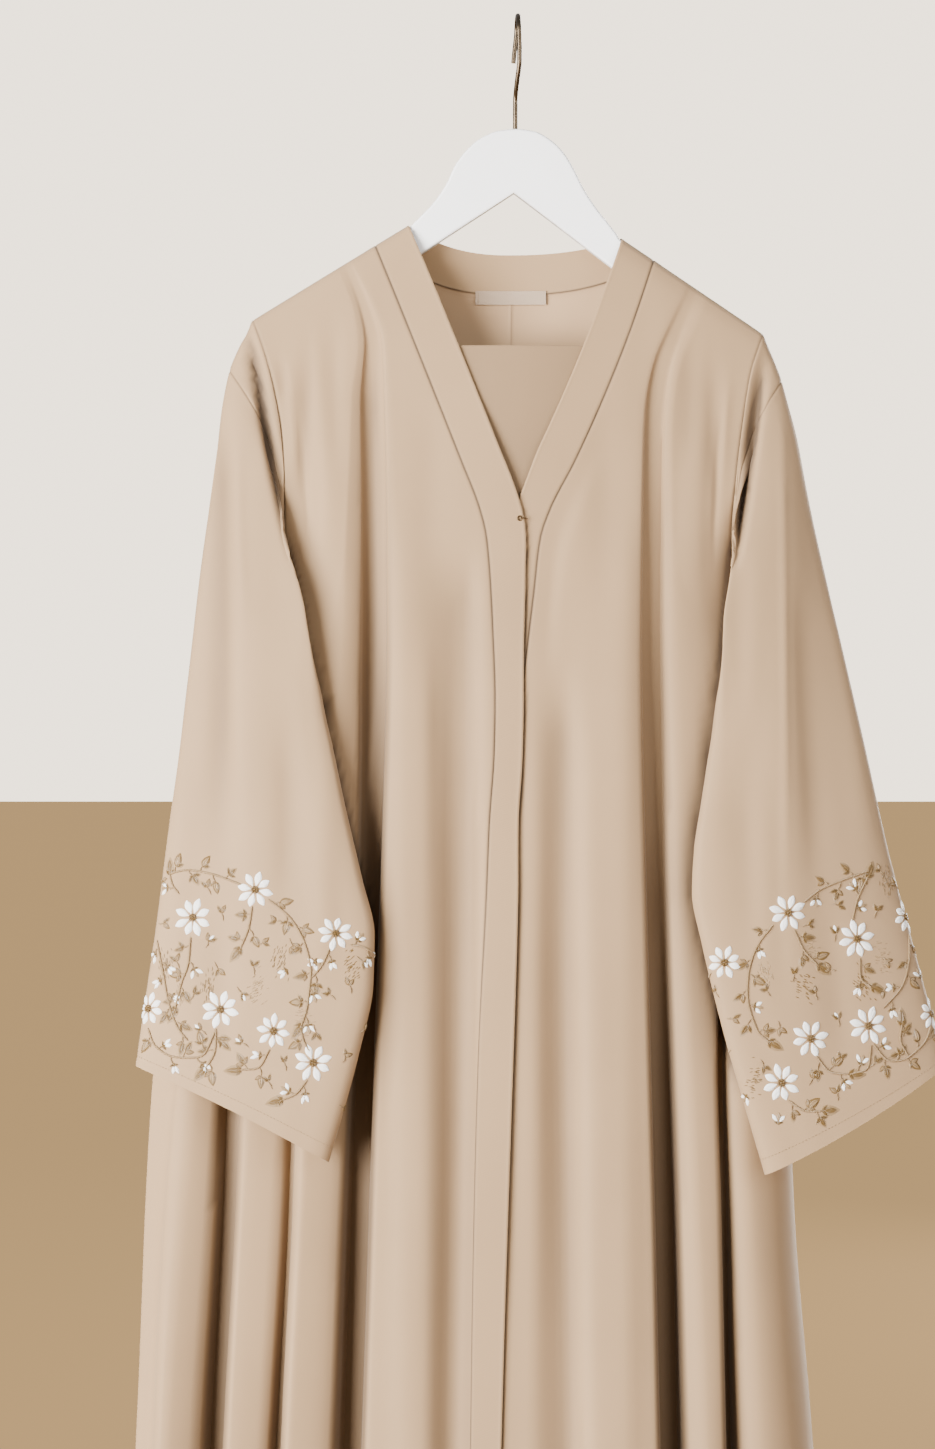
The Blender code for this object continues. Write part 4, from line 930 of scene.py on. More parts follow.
def shell(name, outer, normal, thick, finishes, shade_to_paint, closed=False):
    """A thin closed wall of cloth on a fine grid. thick is one number or one for each point, and a
    second finish is the inside's."""
    rows, columns = outer.shape[:2]
    inner = outer - normal * np.broadcast_to(thick, (rows, columns))[..., None]
    r, c = np.meshgrid(np.arange(rows - 1), np.arange(columns if closed else columns - 1), indexing="ij")
    r, c = r.ravel(), c.ravel()
    corner_r = np.stack([r, r, r + 1, r + 1], 1)
    corner_c = np.stack([c, c + 1, c + 1, c], 1)
    sets = [(corner_r, corner_c, np.zeros_like(corner_r))]
    sets.append((corner_r[:, ::-1], corner_c[:, ::-1], np.ones_like(corner_r)))
    around = np.arange(columns + 1 if closed else columns)
    rims = [(np.full(len(around), row), around, row == 0) for row in (0, rows - 1)]
    if not closed:
        rims += [(np.arange(rows), np.full(rows, col), col > 0) for col in (0, columns - 1)]
    for line_r, line_c, onward in rims:
        rim_r, rim_c = (np.stack([a[:-1], a[1:], a[1:], a[:-1]], 1) for a in (line_r, line_c))
        layer = np.array([1, 1, 0, 0] if onward else [0, 0, 1, 1])
        sets.append((rim_r, rim_c, np.broadcast_to(layer, rim_r.shape)))
    face_r, face_c, face_l = (np.concatenate([s[k] for s in sets]) for k in range(3))
    points = np.concatenate([outer.reshape(-1, 3), inner.reshape(-1, 3)])
    faces = face_l * rows * columns + face_r * columns + face_c % columns
    corners = points[faces]
    square = np.cross(corners[:, 2] - corners[:, 0], corners[:, 3] - corners[:, 1])
    if (corners.mean(axis=1) * square).sum() < 0:
        faces, face_r, face_c = faces[:, ::-1], face_r[:, ::-1], face_c[:, ::-1]
    ring = ringed(outer) if closed else outer
    uvs = np.stack([reach(ring, 1)[face_r, face_c], -reach(ring, 0)[face_r, face_c]], 2)
    slots = np.zeros(len(faces), int)
    slots[len(r) : 2 * len(r)] = len(finishes) - 1
    made = piece(name, points, faces, uvs, finishes, slots)
    # The painted shade rides on the mesh as a point attribute, on both faces of the wall.
    painted_shade = made.data.attributes.new("painted_shade", "FLOAT", "POINT")
    painted_shade.data.foreach_set("value", np.tile(shade_to_paint.ravel(), 2))
    return made


def make_sheet(node, *wall, **options):
    """A shell in place of a node, finished as its sheet of cloth."""
    finished(shell(f"{node}_cloth", *wall, **options), node)


# ---- finishes ----


def settings(node, **values):
    """Sets a node's sockets or, where it has none of that name, its own settings."""
    for key, value in values.items():
        label = key.replace("_", " ")
        if label in node.inputs:
            node.inputs[label].default_value = value
        else:
            setattr(node, key, value)


def new_finish(name, **values):
    """A material, its node tree, and its shader with those values."""
    made = bpy.data.materials.new(name)
    made.use_nodes = True
    shader = made.node_tree.nodes["Principled BSDF"]
    settings(shader, **values)
    return made, made.node_tree, shader


def spaces(tree):
    return tree.nodes.new("ShaderNodeTexCoord").outputs


def texture(tree, kind, coords, **values):
    """The factor of a texture on coordinates."""
    made = tree.nodes.new("ShaderNodeTex" + kind)
    settings(made, **values)
    tree.links.new(coords, made.inputs["Vector"])
    return made.outputs["Fac"]


def ramp(tree, factor, low, high, start=0.3, end=0.7):
    made = tree.nodes.new("ShaderNodeValToRGB")
    for element, place, colour in zip(made.color_ramp.elements, (start, end), (low, high)):
        element.position = place
        element.color = (*colour, 1)
    tree.links.new(factor, made.inputs["Fac"])
    return made.outputs["Color"]


def bump(tree, height, strength, distance, after=None):
    made = tree.nodes.new("ShaderNodeBump")
    settings(made, Strength=strength, Distance=distance)
    tree.links.new(height, made.inputs["Height"])
    if after is not None:
        tree.links.new(after, made.inputs["Normal"])
    return made.outputs["Normal"]


def tinted(colour, factor):
    return tuple(min(1.0, value * factor) for value in colour)


def crepe(name, colour):
    """Matte crepe: a fine pebbled grain over a faint twill, in slowly changing colour, darkened where shade
    is painted on it.
    """
    made, tree, shader = new_finish(
        name, Roughness=0.72, Specular_IOR_Level=0.3, Sheen_Weight=0.25, Sheen_Roughness=0.45,
        Sheen_Tint=(1.0, 0.93, 0.85, 1),
    )
    coords = spaces(tree)
    slow = texture(tree, "Noise", coords["Object"], Scale=9.0, Detail=3.0)
    tint = ramp(tree, slow, *(tinted(colour, factor) for factor in CREPE_TONES))
    # Painted shade: a point attribute multiplies the cloth's colour towards the shade tint.
    depth = tree.nodes.new("ShaderNodeAttribute")
    depth.attribute_name = "painted_shade"
    dimmed = tree.nodes.new("ShaderNodeMix")
    dimmed.data_type = "RGBA"
    dimmed.blend_type = "MULTIPLY"
    dimmed.inputs["B"].default_value = (*PAINTED_SHADE_TINT, 1)
    tree.links.new(depth.outputs["Fac"], dimmed.inputs["Factor"])
    tree.links.new(tint, dimmed.inputs["A"])
    tree.links.new(dimmed.outputs["Result"], shader.inputs["Base Color"])
    grain = texture(tree, "Noise", coords["UV"], Scale=900.0, Detail=3.0, Roughness=0.6)
    wave = dict(Scale=420.0, Distortion=1.2, Detail=1.0, bands_direction="DIAGONAL")
    twill = texture(tree, "Wave", coords["UV"], **wave)
    relief = bump(tree, twill, *TWILL_RELIEF, bump(tree, grain, *GRAIN_RELIEF))
    tree.links.new(relief, shader.inputs["Normal"])
    return made


def ribbed(name, low, high, start, end, relief, wave, **values):
    """A finish of threads that lie side by side, along its UV's second axis."""
    made, tree, shader = new_finish(name, **values)
    lines = texture(tree, "Wave", spaces(tree)["UV"], Detail=1.0, bands_direction="X", **wave)
    tree.links.new(ramp(tree, lines, low, high, start, end), shader.inputs["Base Color"])
    tree.links.new(bump(tree, lines, relief, THREAD_HIGH), shader.inputs["Normal"])
    return made


def thread(name, colour, rough, period, sheen):
    wave = dict(Scale=WAVE_BAND / period, Distortion=0.5)
    low, high = (tinted(colour, factor) for factor in THREAD_TONES)
    return ribbed(name, low, high, 0.1, 0.8, 0.6, wave, Roughness=rough, Sheen_Weight=sheen)


def mottled(name, low, high, scale, detail, fine=0, relief=0.0, **values):
    """A finish in a slowly changing tone, with a fine relief where fine isn't 0."""
    made, tree, shader = new_finish(name, **values)
    coords = spaces(tree)["Object"]
    slow = texture(tree, "Noise", coords, Scale=scale, Detail=detail)
    tree.links.new(ramp(tree, slow, low, high), shader.inputs["Base Color"])
    if fine:
        grain = texture(tree, "Noise", coords, Scale=fine, Detail=2.0)
        tree.links.new(bump(tree, grain, relief, GRAIN_HIGH), shader.inputs["Normal"])
    return made


def wire(name, shades_to_paint, rough):
    """Bronzed wire with fine drawing marks."""
    return mottled(name, *shades_to_paint, 60.0, 4.0, 2500.0, 0.1, Metallic=1.0, Roughness=rough)


def glowing(colour, power):
    """Sockets of a matte shader that also shines evenly."""
    return dict(Specular_IOR_Level=0.0, Emission_Color=(*colour, 1), Emission_Strength=power)


# ---- embroidery ----


def cuff_lattice(grid):
    """Points and outward normals of a sleeve's outer face by t, up from the cuff, and s, round it."""
    upward = grid[::-1]
    heights = np.arange(LATTICE_LOW, LATTICE_HIGH, LATTICE_STEP)
    up_by = reach(upward)
    rows = np.zeros((len(heights), upward.shape[1], 3))
    for c in range(upward.shape[1]):
        for k in range(3):
            rows[:, c, k] = np.interp(np.maximum(heights, 0), up_by[:, c], upward[:, c, k])
    ring = ringed(rows)
    arcs = reach(ring, 1)
    around = np.arange(-LATTICE_PAST, arcs[:, -1].max() + LATTICE_PAST, LATTICE_STEP)
    table = np.zeros((len(heights), len(around), 3))
    for i in range(len(heights)):
        for k in range(3):
            table[i, :, k] = np.interp(around % arcs[i, -1], arcs[i], ring[i, :, k])
    up, onward = np.gradient(table, axis=0), np.gradient(table, axis=1)
    square = unit(np.cross(onward, up))
    outward = table - rows.mean(axis=1, keepdims=True)
    if (square * outward).sum() < 0:
        square = -square
    return dict(table=table, normal=square, up=unit(up), round=unit(onward))


class Bundle:
    """Points, faces, UVs and material slots of many small pieces on a cuff that become one mesh."""

    def __init__(self, lattice, daisies):
        self.lattice = lattice
        self.daisies = daisies
        self.lines = []
        self.points, self.faces, self.uvs, self.slots = [], [], [], []
        self.count = 0

    def at(self, what, s, t):
        """Bilinear look-up in the lattice at s and t."""
        values = self.lattice[what]
        rows, columns = values.shape[:2]
        fi = np.clip((t - LATTICE_LOW) / LATTICE_STEP, 0, rows - INSIDE)
        fj = np.clip((s + LATTICE_PAST) / LATTICE_STEP, 0, columns - INSIDE)
        i, j = fi.astype(int), fj.astype(int)
        a, b = (fi - i)[..., None], (fj - j)[..., None]
        low = values[i, j] * (1 - b) + values[i, j + 1] * b
        high = values[i + 1, j] * (1 - b) + values[i + 1, j + 1] * b
        return low * (1 - a) + high * a

    def add(self, points, faces, uvs, slot):
        self.points.append(points)
        self.faces.append(faces + self.count)
        self.uvs.append(uvs[faces])
        self.slots.append(np.full(len(faces), slot, int))
        self.count += len(points)

    def place(self, local, faces, uvs, slot, s, t, turn):
        """Adds a small piece of local points, across, along and out, turned and set on the cloth at s, t."""
        angle = math.radians(turn)
        u = local[:, 0] * math.cos(angle) - local[:, 1] * math.sin(angle)
        v = local[:, 0] * math.sin(angle) + local[:, 1] * math.cos(angle)
        one = (np.array([float(s)]), np.array([float(t)]))
        lean = float((self.at("up", *one) * self.at("round", *one)).sum())
        rise = math.sqrt(1 - lean * lean)
        s, t = s + u - v * lean / rise, t + v / rise
        points = self.at("table", s, t) + unit(self.at("normal", s, t)) * local[:, 2:]
        self.add(points, faces, uvs, slot)


def blade(length, wide, high, root, vein=0.0, point=0.75, rows=9, columns=7):
    """A domed petal or leaf that starts at root and lies along the first axis."""
    a = np.linspace(0.0, 1.0, rows)[:, None]
    b = np.linspace(-1.0, 1.0, columns)[None]
    body = np.sin(np.pi * np.clip(a, *BLADE_ENDS) ** point) ** BLADE_BODY
    u = root + length * a + 0 * b
    v = b * wide / 2 * body
    dome = np.sqrt(np.maximum(0, 1 - b * b)) * (1 - vein * hump(b, VEIN_HALF))
    local = np.stack([u, v, high * dome * body**BLADE_DOME - BLADE_SUNK], 2)
    uvs = np.stack([v, u], 2)
    return local.reshape(-1, 3), strip_faces(rows, columns), uvs.reshape(-1, 2)


def knot(rows=4, columns=8):
    """A French knot: a small dome."""
    a = np.linspace(*KNOT_ARC, rows)[:, None] * np.pi
    b = np.arange(columns)[None] * 2 * np.pi / columns
    x, y, z = np.sin(a) * np.cos(b), np.sin(a) * np.sin(b), KNOT_RISE + np.cos(a) + 0 * b
    local = KNOT * np.stack([x, y, z], 2)
    uvs = KNOT * np.stack([a * np.cos(b), a * np.sin(b)], 2)
    return local.reshape(-1, 3), strip_faces(rows, columns, True), uvs.reshape(-1, 2)


def daisy(bundle, s, t, across, turn):
    """Satin-stitch petals, no two quite alike, round a knotted centre."""
    (mean, longer, wave), (aside, turning) = PETAL_LONG, PETAL_LEAN
    for index in range(PETALS):
        long = across / 2 * (mean + longer * math.sin(wave * index + s))
        satin = blade(long - PETAL_ROOT, across * PETAL_WIDE, root=PETAL_ROOT, **SATIN)
        lean = turn + 360 / PETALS * index + aside * math.sin(index * turning + t)
        bundle.place(*satin, WHITE_THREAD, s, t, lean)
    for count, radius, out in CENTRE_KNOTS:
        for index in range(count):
            local, faces, uvs = knot()
            angle = 2 * math.pi * index / count
            moved = local + (radius * math.cos(angle), radius * math.sin(angle), out)
            bundle.place(moved, faces, uvs, GOLD_THREAD, s, t, turn)


def leaf(bundle, s, t, length, angle, rim=BEIGE_THREAD, filling=GOLD_THREAD):
    """A leaf of two layers: one that shows as its rim, and a higher one that fills it."""
    bundle.place(*blade(length, length * LEAF_WIDE, root=0.0, **LEAF_UNDER), rim, s, t, angle)
    over = blade(length * OVER_LONG, length * OVER_WIDE, root=length * OVER_ROOT, **LEAF_OVER)
    bundle.place(*over, filling, s, t, angle)


def leaf_threads(rng):
    """Rim and filling of a leaf: some are outlined in gold and filled in beige."""
    return (GOLD_THREAD, BEIGE_THREAD) if rng.uniform() < OUTLINED else (BEIGE_THREAD, GOLD_THREAD)


def sprout(bundle, s, t, angle, rng):
    """A loose pair of small leaves on a short stalk, some with a white petal between them."""
    lean = math.radians(angle)
    far, near, bend = SPROUT_STALK
    foot = (s - far * math.cos(lean), t - far * math.sin(lean))
    turn_at = (s - near * math.cos(lean + bend), t - near * math.sin(lean + bend))
    vine(bundle, (foot, turn_at, (s, t)), VINE_RADIUS * SPROUT_THIN)
    for turn in SPROUT_TURNS:
        threads = leaf_threads(rng)
        leaf(bundle, s, t, rng.uniform(*SPROUT_LEAF_LONG), angle + turn + rng.uniform(*LEAF_LEAN), *threads)
    if rng.uniform() < PETALLED:
        petal = blade(rng.uniform(*SPROUT_PETAL_LONG), **SPROUT_PETAL)
        bundle.place(*petal, WHITE_THREAD, s, t, angle + rng.uniform(*STITCH_LEAN))


def bud(bundle, s, t, angle, rng):
    """Two or three small petals in a leafy cup."""
    count = int(rng.integers(2, 4))
    for index in range(count):
        spread = (index - (count - 1) / 2) * BUD_SPREAD
        slot = BEIGE_THREAD if index == 1 and count == 3 else WHITE_THREAD
        petal = blade(rng.uniform(*BUD_PETAL_LONG), **BUD_PETAL)
        bundle.place(*petal, slot, s, t, angle + spread)
    bundle.place(*blade(**CUP), GOLD_THREAD, s, t, angle)
    for turn in BUD_TURNS:
        leaf(bundle, s, t, BUD_LEAF, angle + turn)


def vine(bundle, at, radius=VINE_RADIUS):
    """A twisted cord couched along a smooth line through points of s and t. Returns that line."""
    at = np.array(at, float)
    rough = reach(at)
    count = max(4, int(rough[-1] / VINE_STEP))
    marks = np.interp(np.linspace(0, rough[-1], count), rough, np.arange(len(at)))
    line = curve_at(at, marks, 0)
    for _ in range(2):
        line[1:-1] = (line[:-2] + 2 * line[1:-1] + line[2:]) / 4
    s, t = line[:, 0], line[:, 1]
    base = bundle.at("table", s, t)
    out = unit(bundle.at("normal", s, t))
    side = unit(np.cross(out, unit(np.gradient(base, axis=0))))
    along = reach(base)
    phi = np.arange(CORD_SIDES) * 2 * np.pi / CORD_SIDES
    wide = radius * (1 + STRANDS_DEEP * np.cos(2 * phi[None] - TWIST * along[:, None]))
    from_end = np.minimum(np.arange(count), np.arange(count)[::-1])
    wide *= np.minimum(1, CORD_TIP + (1 - CORD_TIP) * from_end / 2)[:, None]
    points = base[:, None] + side[:, None] * (wide * np.cos(phi))[..., None]
    points = points + out[:, None] * (wide * np.sin(phi) + radius * CORD_RISE)[..., None]
    uvs = np.stack(np.broadcast_arrays(along[:, None], phi[None] * radius), 2)
    faces = strip_faces(count, CORD_SIDES, True)
    bundle.add(points.reshape(-1, 3), faces, uvs.reshape(-1, 2), BEIGE_THREAD)
    return line


def heading(run):
    return math.degrees(math.atan2(run[1], run[0]))


def sprigs(bundle, line, tipped, rng):
    """Leaves and buds on short stalks to alternate sides of a vine, and leaves at its tip."""
    along = reach(line)
    marks = np.arange(SPRIG_EVERY * rng.uniform(*SPRIG_START), along[-1] - SPRIG_END, SPRIG_EVERY)
    flip = 1 if rng.uniform() < 0.5 else -1
    for number, mark in enumerate(marks):
        i = int(np.clip(np.searchsorted(along, mark), 1, len(line) - 2))
        side = flip * (1 if number % 2 else -1)
        angle = heading(line[i + 1] - line[i - 1]) + side * rng.uniform(*SPRIG_LEAN)
        step = rng.uniform(*STALK_LONG)
        lean = math.radians(angle)
        end = line[i] + step * np.array([math.cos(lean), math.sin(lean)])
        bend = (line[i] + end) / 2 + STALK_BEND * side * np.array([-math.sin(lean), math.cos(lean)])
        vine(bundle, (line[i], bend, end), VINE_RADIUS * STALK_THIN)
        if rng.uniform() < LEAFY:
            leaf(bundle, *end, rng.uniform(*LEAF_LONG), angle, *leaf_threads(rng))
            for turn in SIDE_TURNS[: int(rng.integers(1, 3))]:
                leaf(bundle, *end, rng.uniform(*SIDE_LEAF_LONG), angle + turn, *leaf_threads(rng))
        else:
            bud(bundle, *end, angle, rng)
    if tipped:
        angle = heading(line[-1] - line[-4])
        leaf(bundle, *line[-1], TIP_LEAF, angle)
        for turn in TIP_TURNS:
            leaf(bundle, *line[-2], TIP_SIDE_LEAF, angle + turn)


def seeds(bundle, rng, girth):
    """Patches of seed stitches, one in each equal part of the way round."""
    for index in range(DRIFT_COUNT):
        centre = girth * (index + rng.uniform(*DRIFT_S)) / DRIFT_COUNT, rng.uniform(*DRIFT_T)
        turn = rng.uniform(*DRIFT_TURN)
        for _ in range(int(rng.integers(*SEED_COUNT))):
            seed = blade(rng.uniform(*SEED_LONG), **SEED)
            place = rng.normal(centre, DRIFT_SIZE)
            bundle.place(*seed, DRIFT_THREADS[index % 2], *place, turn + rng.uniform(*STITCH_LEAN))


def scattered(bundle, rng, girth):
    """Loose sprouts and a few buds, clear of the daisies, of the vines and of each other."""
    taken = [row[:2] for row in bundle.daisies]
    lines = np.concatenate(bundle.lines)
    for _ in range(SPROUT_TRIES):
        s, t = rng.uniform(0, girth), rng.uniform(*SPROUT_T)
        clear = min(math.hypot(s - d[0], t - d[1]) for d in taken)
        beside = np.hypot(*(lines - (s, t)).T).min()
        if clear < SPROUT_CLEAR[0] or beside < SPROUT_CLEAR[1]:
            continue
        taken.append((s, t))
        angle = rng.uniform(0, 360)
        if rng.uniform() < BUDS:
            bud(bundle, s, t, angle, rng)
        else:
            sprout(bundle, s, t, angle, rng)


def embroider(side, grid, threads):
    bundle = Bundle(cuff_lattice(grid), DAISIES[side])
    rng = np.random.default_rng(RANDOM_START[side])
    for number, at in enumerate(VINES[side]):
        bundle.lines.append(vine(bundle, at))
        sprigs(bundle, bundle.lines[-1], number in TIPPED[side], rng)
    for row in bundle.daisies:
        daisy(bundle, *row)
    girth = float(np.linalg.norm(np.diff(ringed(grid)[-1], axis=0), axis=1).sum())
    seeds(bundle, rng, girth)
    scattered(bundle, rng, girth)
    points, faces, uvs, slots = map(np.concatenate, (bundle.points, bundle.faces, bundle.uvs, bundle.slots))
    return piece(f"cuff_flowers_{SIDES[side]}", points, faces, uvs, threads, slots)


def stitches(name, line, normal, finish, pitch, long, radius):
    """A row of short stitches along a line of points on the cloth."""
    along = reach(line)
    points, faces, uvs = [], [], []
    phi = np.arange(STITCH_SIDES) * 2 * np.pi / STITCH_SIDES
    wide = radius * np.array(STITCH_WIDE)[:, None]
    rise = radius * np.array(STITCH_RISE)[:, None]
    for number, start in enumerate(np.arange(pitch / 2, along[-1] - long, pitch)):
        marks = start + long * np.array(STITCH_MARKS)
        base = np.stack([np.interp(marks, along, line[:, k]) for k in range(3)], 1)
        out = unit(np.stack([np.interp(marks, along, normal[:, k]) for k in range(3)], 1))
        side = unit(np.cross(out, unit(base[-1:] - base[:1])))
        ring = base[:, None] + side[:, None] * (wide * np.cos(phi))[..., None]
        ring = ring + out[:, None] * (wide * np.sin(phi) + rise)[..., None]
        points.append(ring.reshape(-1, 3))
        faces.append(strip_faces(len(marks), STITCH_SIDES, True) + number * len(marks) * STITCH_SIDES)
        uvs.append(np.stack(np.broadcast_arrays(marks[:, None], phi[None] * radius), 2).reshape(-1, 2))
    points, faces = np.concatenate(points), np.concatenate(faces)
    return piece(name, points, faces, np.concatenate(uvs)[faces], [finish])


# ---- the pieces of cloth ----


def body_rows():
    """Fractional rows of the body's fine grids, the same in all four panels."""
    drops = np.diff(np.array(ROW_DROPS, float))
    below = -HEM_Z + SHOULDER[LEFT]["tip"][1] - UNDERARM_DROP
    upper = stations(drops, ROW_STEP["above"])
    lower = stations(np.diff(np.array((0.0,) + ROW_SHARES)) * below, ROW_STEP["below"], last=True)
    return np.concatenate([upper, UNDERARM_ROW + lower[1:]])


def make_body_panel(side, face, coarse, rows, lap, finishes):
    """A front or a back. Returns its column beside the band or at the centre back."""
    name, hint = f"{face}_{SIDES[side]}", FORWARD if face == "front" else BACKWARD
    columns = stations(spacing(coarse[face], 1), COLUMN_STEP[face], first=True, last=True)
    grid = curve_at(curve_at(coarse[face], rows, 0), columns, 1)
    if face == "front":
        shift = x_at(BAND_SEAM[side], grid[:, 0, 2]) - grid[:, 0, 0]
        grid[..., 0] += shift[:, None] * hump(grid[..., 0] - grid[:, :1, 0], SHIFT_REACH)
    inner_edge = grid[:, 0].copy()
    normal = normals(grid, hint)
    grid, shade_to_paint = creased(grid, normal, CREASES[name])
    grid = drifted(grid, normal, DRIFT_RANDOM[side])
    normal = normals(grid, hint)
    grid = edged(grid, normal, ("first_row", "first_column", "last_column"))
    # Painted shade of the cloth: in crease troughs, in fold hollows, in seam grooves, beside the sleeve and,
    # on the right front, as the left placket's shadow.
    shades_to_paint = [shade_to_paint, hollows(grid, hint[1]), seam_shade(grid, ("first_row", "last_column"), QUIET_SEAM_SHADE)]
    shades_to_paint.append(seam_shade(grid, ("first_column",), SEAM_SHADE if face == "front" else BACK_SEAM_SHADE))
    if face == "front":
        shades_to_paint.append(contact_shade(grid, side, coarse["sleeve"]))
    if face == "front" and side == RIGHT:
        shades_to_paint.append(lap_shade(grid, lap))
    make_sheet(name, grid, normal, hemmed(grid, HEM_WIDE), finishes, np.maximum.reduce(shades_to_paint))
    return inner_edge


def make_side(side, rows, lap, cloth, inside_lightened):
    """One side's front, back and band. Returns the coarse grids and where the band's free edge lies."""
    coarse = dict(front=front_grid(side), back=back_grid(side))
    coarse["sleeve"] = sleeve_grid(side, coarse["front"], coarse["back"])
    coarse["band"] = band_grid(side, coarse["front"][:, 0])
    seam_line = make_body_panel(side, "front", coarse, rows, lap, [cloth, inside_lightened])
    make_body_panel(side, "back", coarse, rows, lap, [cloth, inside_lightened])
    columns = stations(spacing(coarse["band"], 1), COLUMN_STEP["band"], first=True, last=True)
    grid = band_grid(side, seam_line)
    grid[..., 1] += (seam_line[:, 1] - grid[:, 0, 1])[:, None]
    grid = curve_at(grid, columns, 1)
    normal = normals(grid, FORWARD)
    grid = edged(grid, normal, ("first_row", "first_column"))
    grid = edged(grid, normal, ("last_column",), BAND_LIP)
    # Painted shade in the band's seams and, on the right, the left placket's painted shadow.
    shade = seam_shade(grid, ("first_row", "first_column"))
    if side == RIGHT:
        shade = np.maximum(shade, lap_shade(grid, lap))
    make_sheet(f"band_{SIDES[side]}", grid, normal, BAND_THIN, [cloth], shade)
    return coarse, grid[:, -1, 0]


def make_sleeve(side, loops, cloth, threads):
    """A sleeve's cap, and the sleeve with its cuff's stitches and embroidery."""
    name = SIDES[side]
    around = stations(spacing(loops, 1, closed=True), COLUMN_STEP["sleeve"])[:-1]
    past = np.abs(around - UNDERARM_ROW / 2) * 2
    on_front = ease((UNDERARM_ROW - past) / SLEEVE_TURN + 0.5)[None]
    for part, first, last in (("sleeve_cap", 0, 2), ("sleeve", 1, len(loops))):
        cap = part == "sleeve_cap"
        rows = stations(spacing(loops[first:last], 0), SLEEVE_ROW_STEP, first=True, last=True) + first
        grid = curve_at(curve_at(loops, rows, 0), around, 1, closed=True)
        centre = grid.mean(axis=1, keepdims=True)
        normal = normals(grid, grid - centre, closed=True)
        held = ease(away_from(grid, "first_row") / CAP_HELD) if cap else 1
        grid, shade_to_paint = creased(grid, normal, CREASES[f"sleeve_front_{name}"], on_front * held)
        grid, _ = creased(grid, normal, CREASES[f"sleeve_back_{name}"], (1 - on_front) * held)
        normal = normals(grid, grid - centre, closed=True)
        edges = ("first_row", "last_row") if cap else ("first_row",)
        grid = edged(grid, normal, edges)
        # Painted shade in the seams and in the front's crease troughs.
        shade = np.maximum(seam_shade(grid, edges, QUIET_SEAM_SHADE), shade_to_paint)
        thick = THIN if cap else hemmed(grid, CUFF_WIDE)
        if not cap:
            grid = edged(grid, normal, ("last_row",), CUFF_GROOVE)
        if cap:
            make_sheet(f"{part}_{name}", grid, normal, thick, [cloth], shade, closed=True)
    made = shell(f"sleeve_{name}_cloth", grid, normal, thick, [cloth], shade, closed=True)
    sewn = np.argmin(np.abs(away_from(grid, "last_row").mean(axis=1) - CUFF_SEWN))
    line, square = ringed(grid)[sewn], ringed(normal)[sewn]
    seam = stitches(f"cuff_stitches_{name}", line, square, threads[BEIGE_THREAD], *CUFF_STITCH)
    finished(made, f"sleeve_{name}", [seam, embroider(side, grid, threads)])


def make_neckband(coarse, cloth):
    middle = BACK_COLUMNS // 2
    lower, upper = [], []
    for side in SIDES:
        order = range(middle, -1, -1) if side == LEFT else range(1, middle + 1)
        for index in order:
            lower.append(coarse[side]["back"][0, index])
            x, z = neck_point(side, NECK_SHARES[middle - index], "free")
            upper.append((x, hang(side, "back", x, z), z))
    lower, upper = np.array(lower), np.array(upper)
    grid = np.array([lower, mix(lower, upper, 0.5), upper])
    rows = stations(spacing(grid, 0), COLUMN_STEP["band"], first=True, last=True)
    columns = stations(spacing(grid, 1), COLUMN_STEP["band"])
    grid = curve_at(curve_at(grid, rows, 0), columns, 1)
    normal = normals(grid, BACKWARD)
    edges = ("first_row", "first_column", "last_column")
    grid = edged(grid, normal, edges)
    make_sheet("neckband_back", grid, normal, BAND_THIN, [cloth], seam_shade(grid, edges))


def make_inner_panel(coarse, cloth):
    heights = np.linspace(PANEL_TOP, PANEL_FOOT, PANEL_ROWS)
    ends = []
    for side in SIDES:
        free = coarse[side]["band"][:, 2]
        half = np.interp(-heights, -free[:, 2], free[:, 0]) * side + PANEL_TUCK
        ends.append(np.maximum(half, LEAST_HALF) * side)
    grid = np.zeros((PANEL_ROWS, PANEL_COLUMNS, 3))
    behind = mix(*PANEL_BEHIND, ease((PANEL_BEND - heights) / PANEL_BEND_RUN))
    for index in range(PANEL_COLUMNS):
        x = mix(*ends, index / (PANEL_COLUMNS - 1))
        depth = hang(LEFT, "front", x, heights)
        grid[:, index] = np.stack([x, behind - depth, heights], 1)
    rows = stations(spacing(grid, 0), PANEL_STEP[0], first=True)
    columns = stations(spacing(grid, 1), PANEL_STEP[1])
    grid = curve_at(curve_at(grid, rows, 0), columns, 1)
    normal = normals(grid, FORWARD)
    grid = edged(grid, normal, ("first_row",), PANEL_LIP)
    # Painted shade over the whole panel, deeper towards the sides that lie behind the bands.
    sides = (away_from(grid, edge) for edge in ("first_column", "last_column"))
    shade = PANEL_SHADE * (1 + sum(np.exp(-away / PANEL_REACH) for away in sides))
    make_sheet("inner_panel", grid, normal, THIN, [cloth], shade)


def make_label(finish, thread_finish):
    x = np.linspace(*LABEL["x"], LABEL_COLUMNS)[None] + np.zeros((LABEL_ROWS, 1))
    z = np.linspace(*LABEL["z"], LABEL_ROWS)[:, None] + np.zeros((1, LABEL_COLUMNS))
    depth = hang(LEFT, "back", x, z)
    grid = np.stack([x, depth - BAND - 2 * SEAM - LABEL["wall"], z], 2)
    normal = normals(grid, FORWARD)
    made = shell("label_tape", grid, normal, LABEL_THIN, [finish], np.zeros(x.shape))
    ends = []
    for number, column in enumerate((1, LABEL_COLUMNS - 2), 1):
        line, square = grid[:, column], normal[:, column]
        ends.append(stitches(f"label_stitches_{number}", line, square, thread_finish, *LABEL_STITCH))
    finished(made, "label", ends)


# ---- hanger and clasp ----


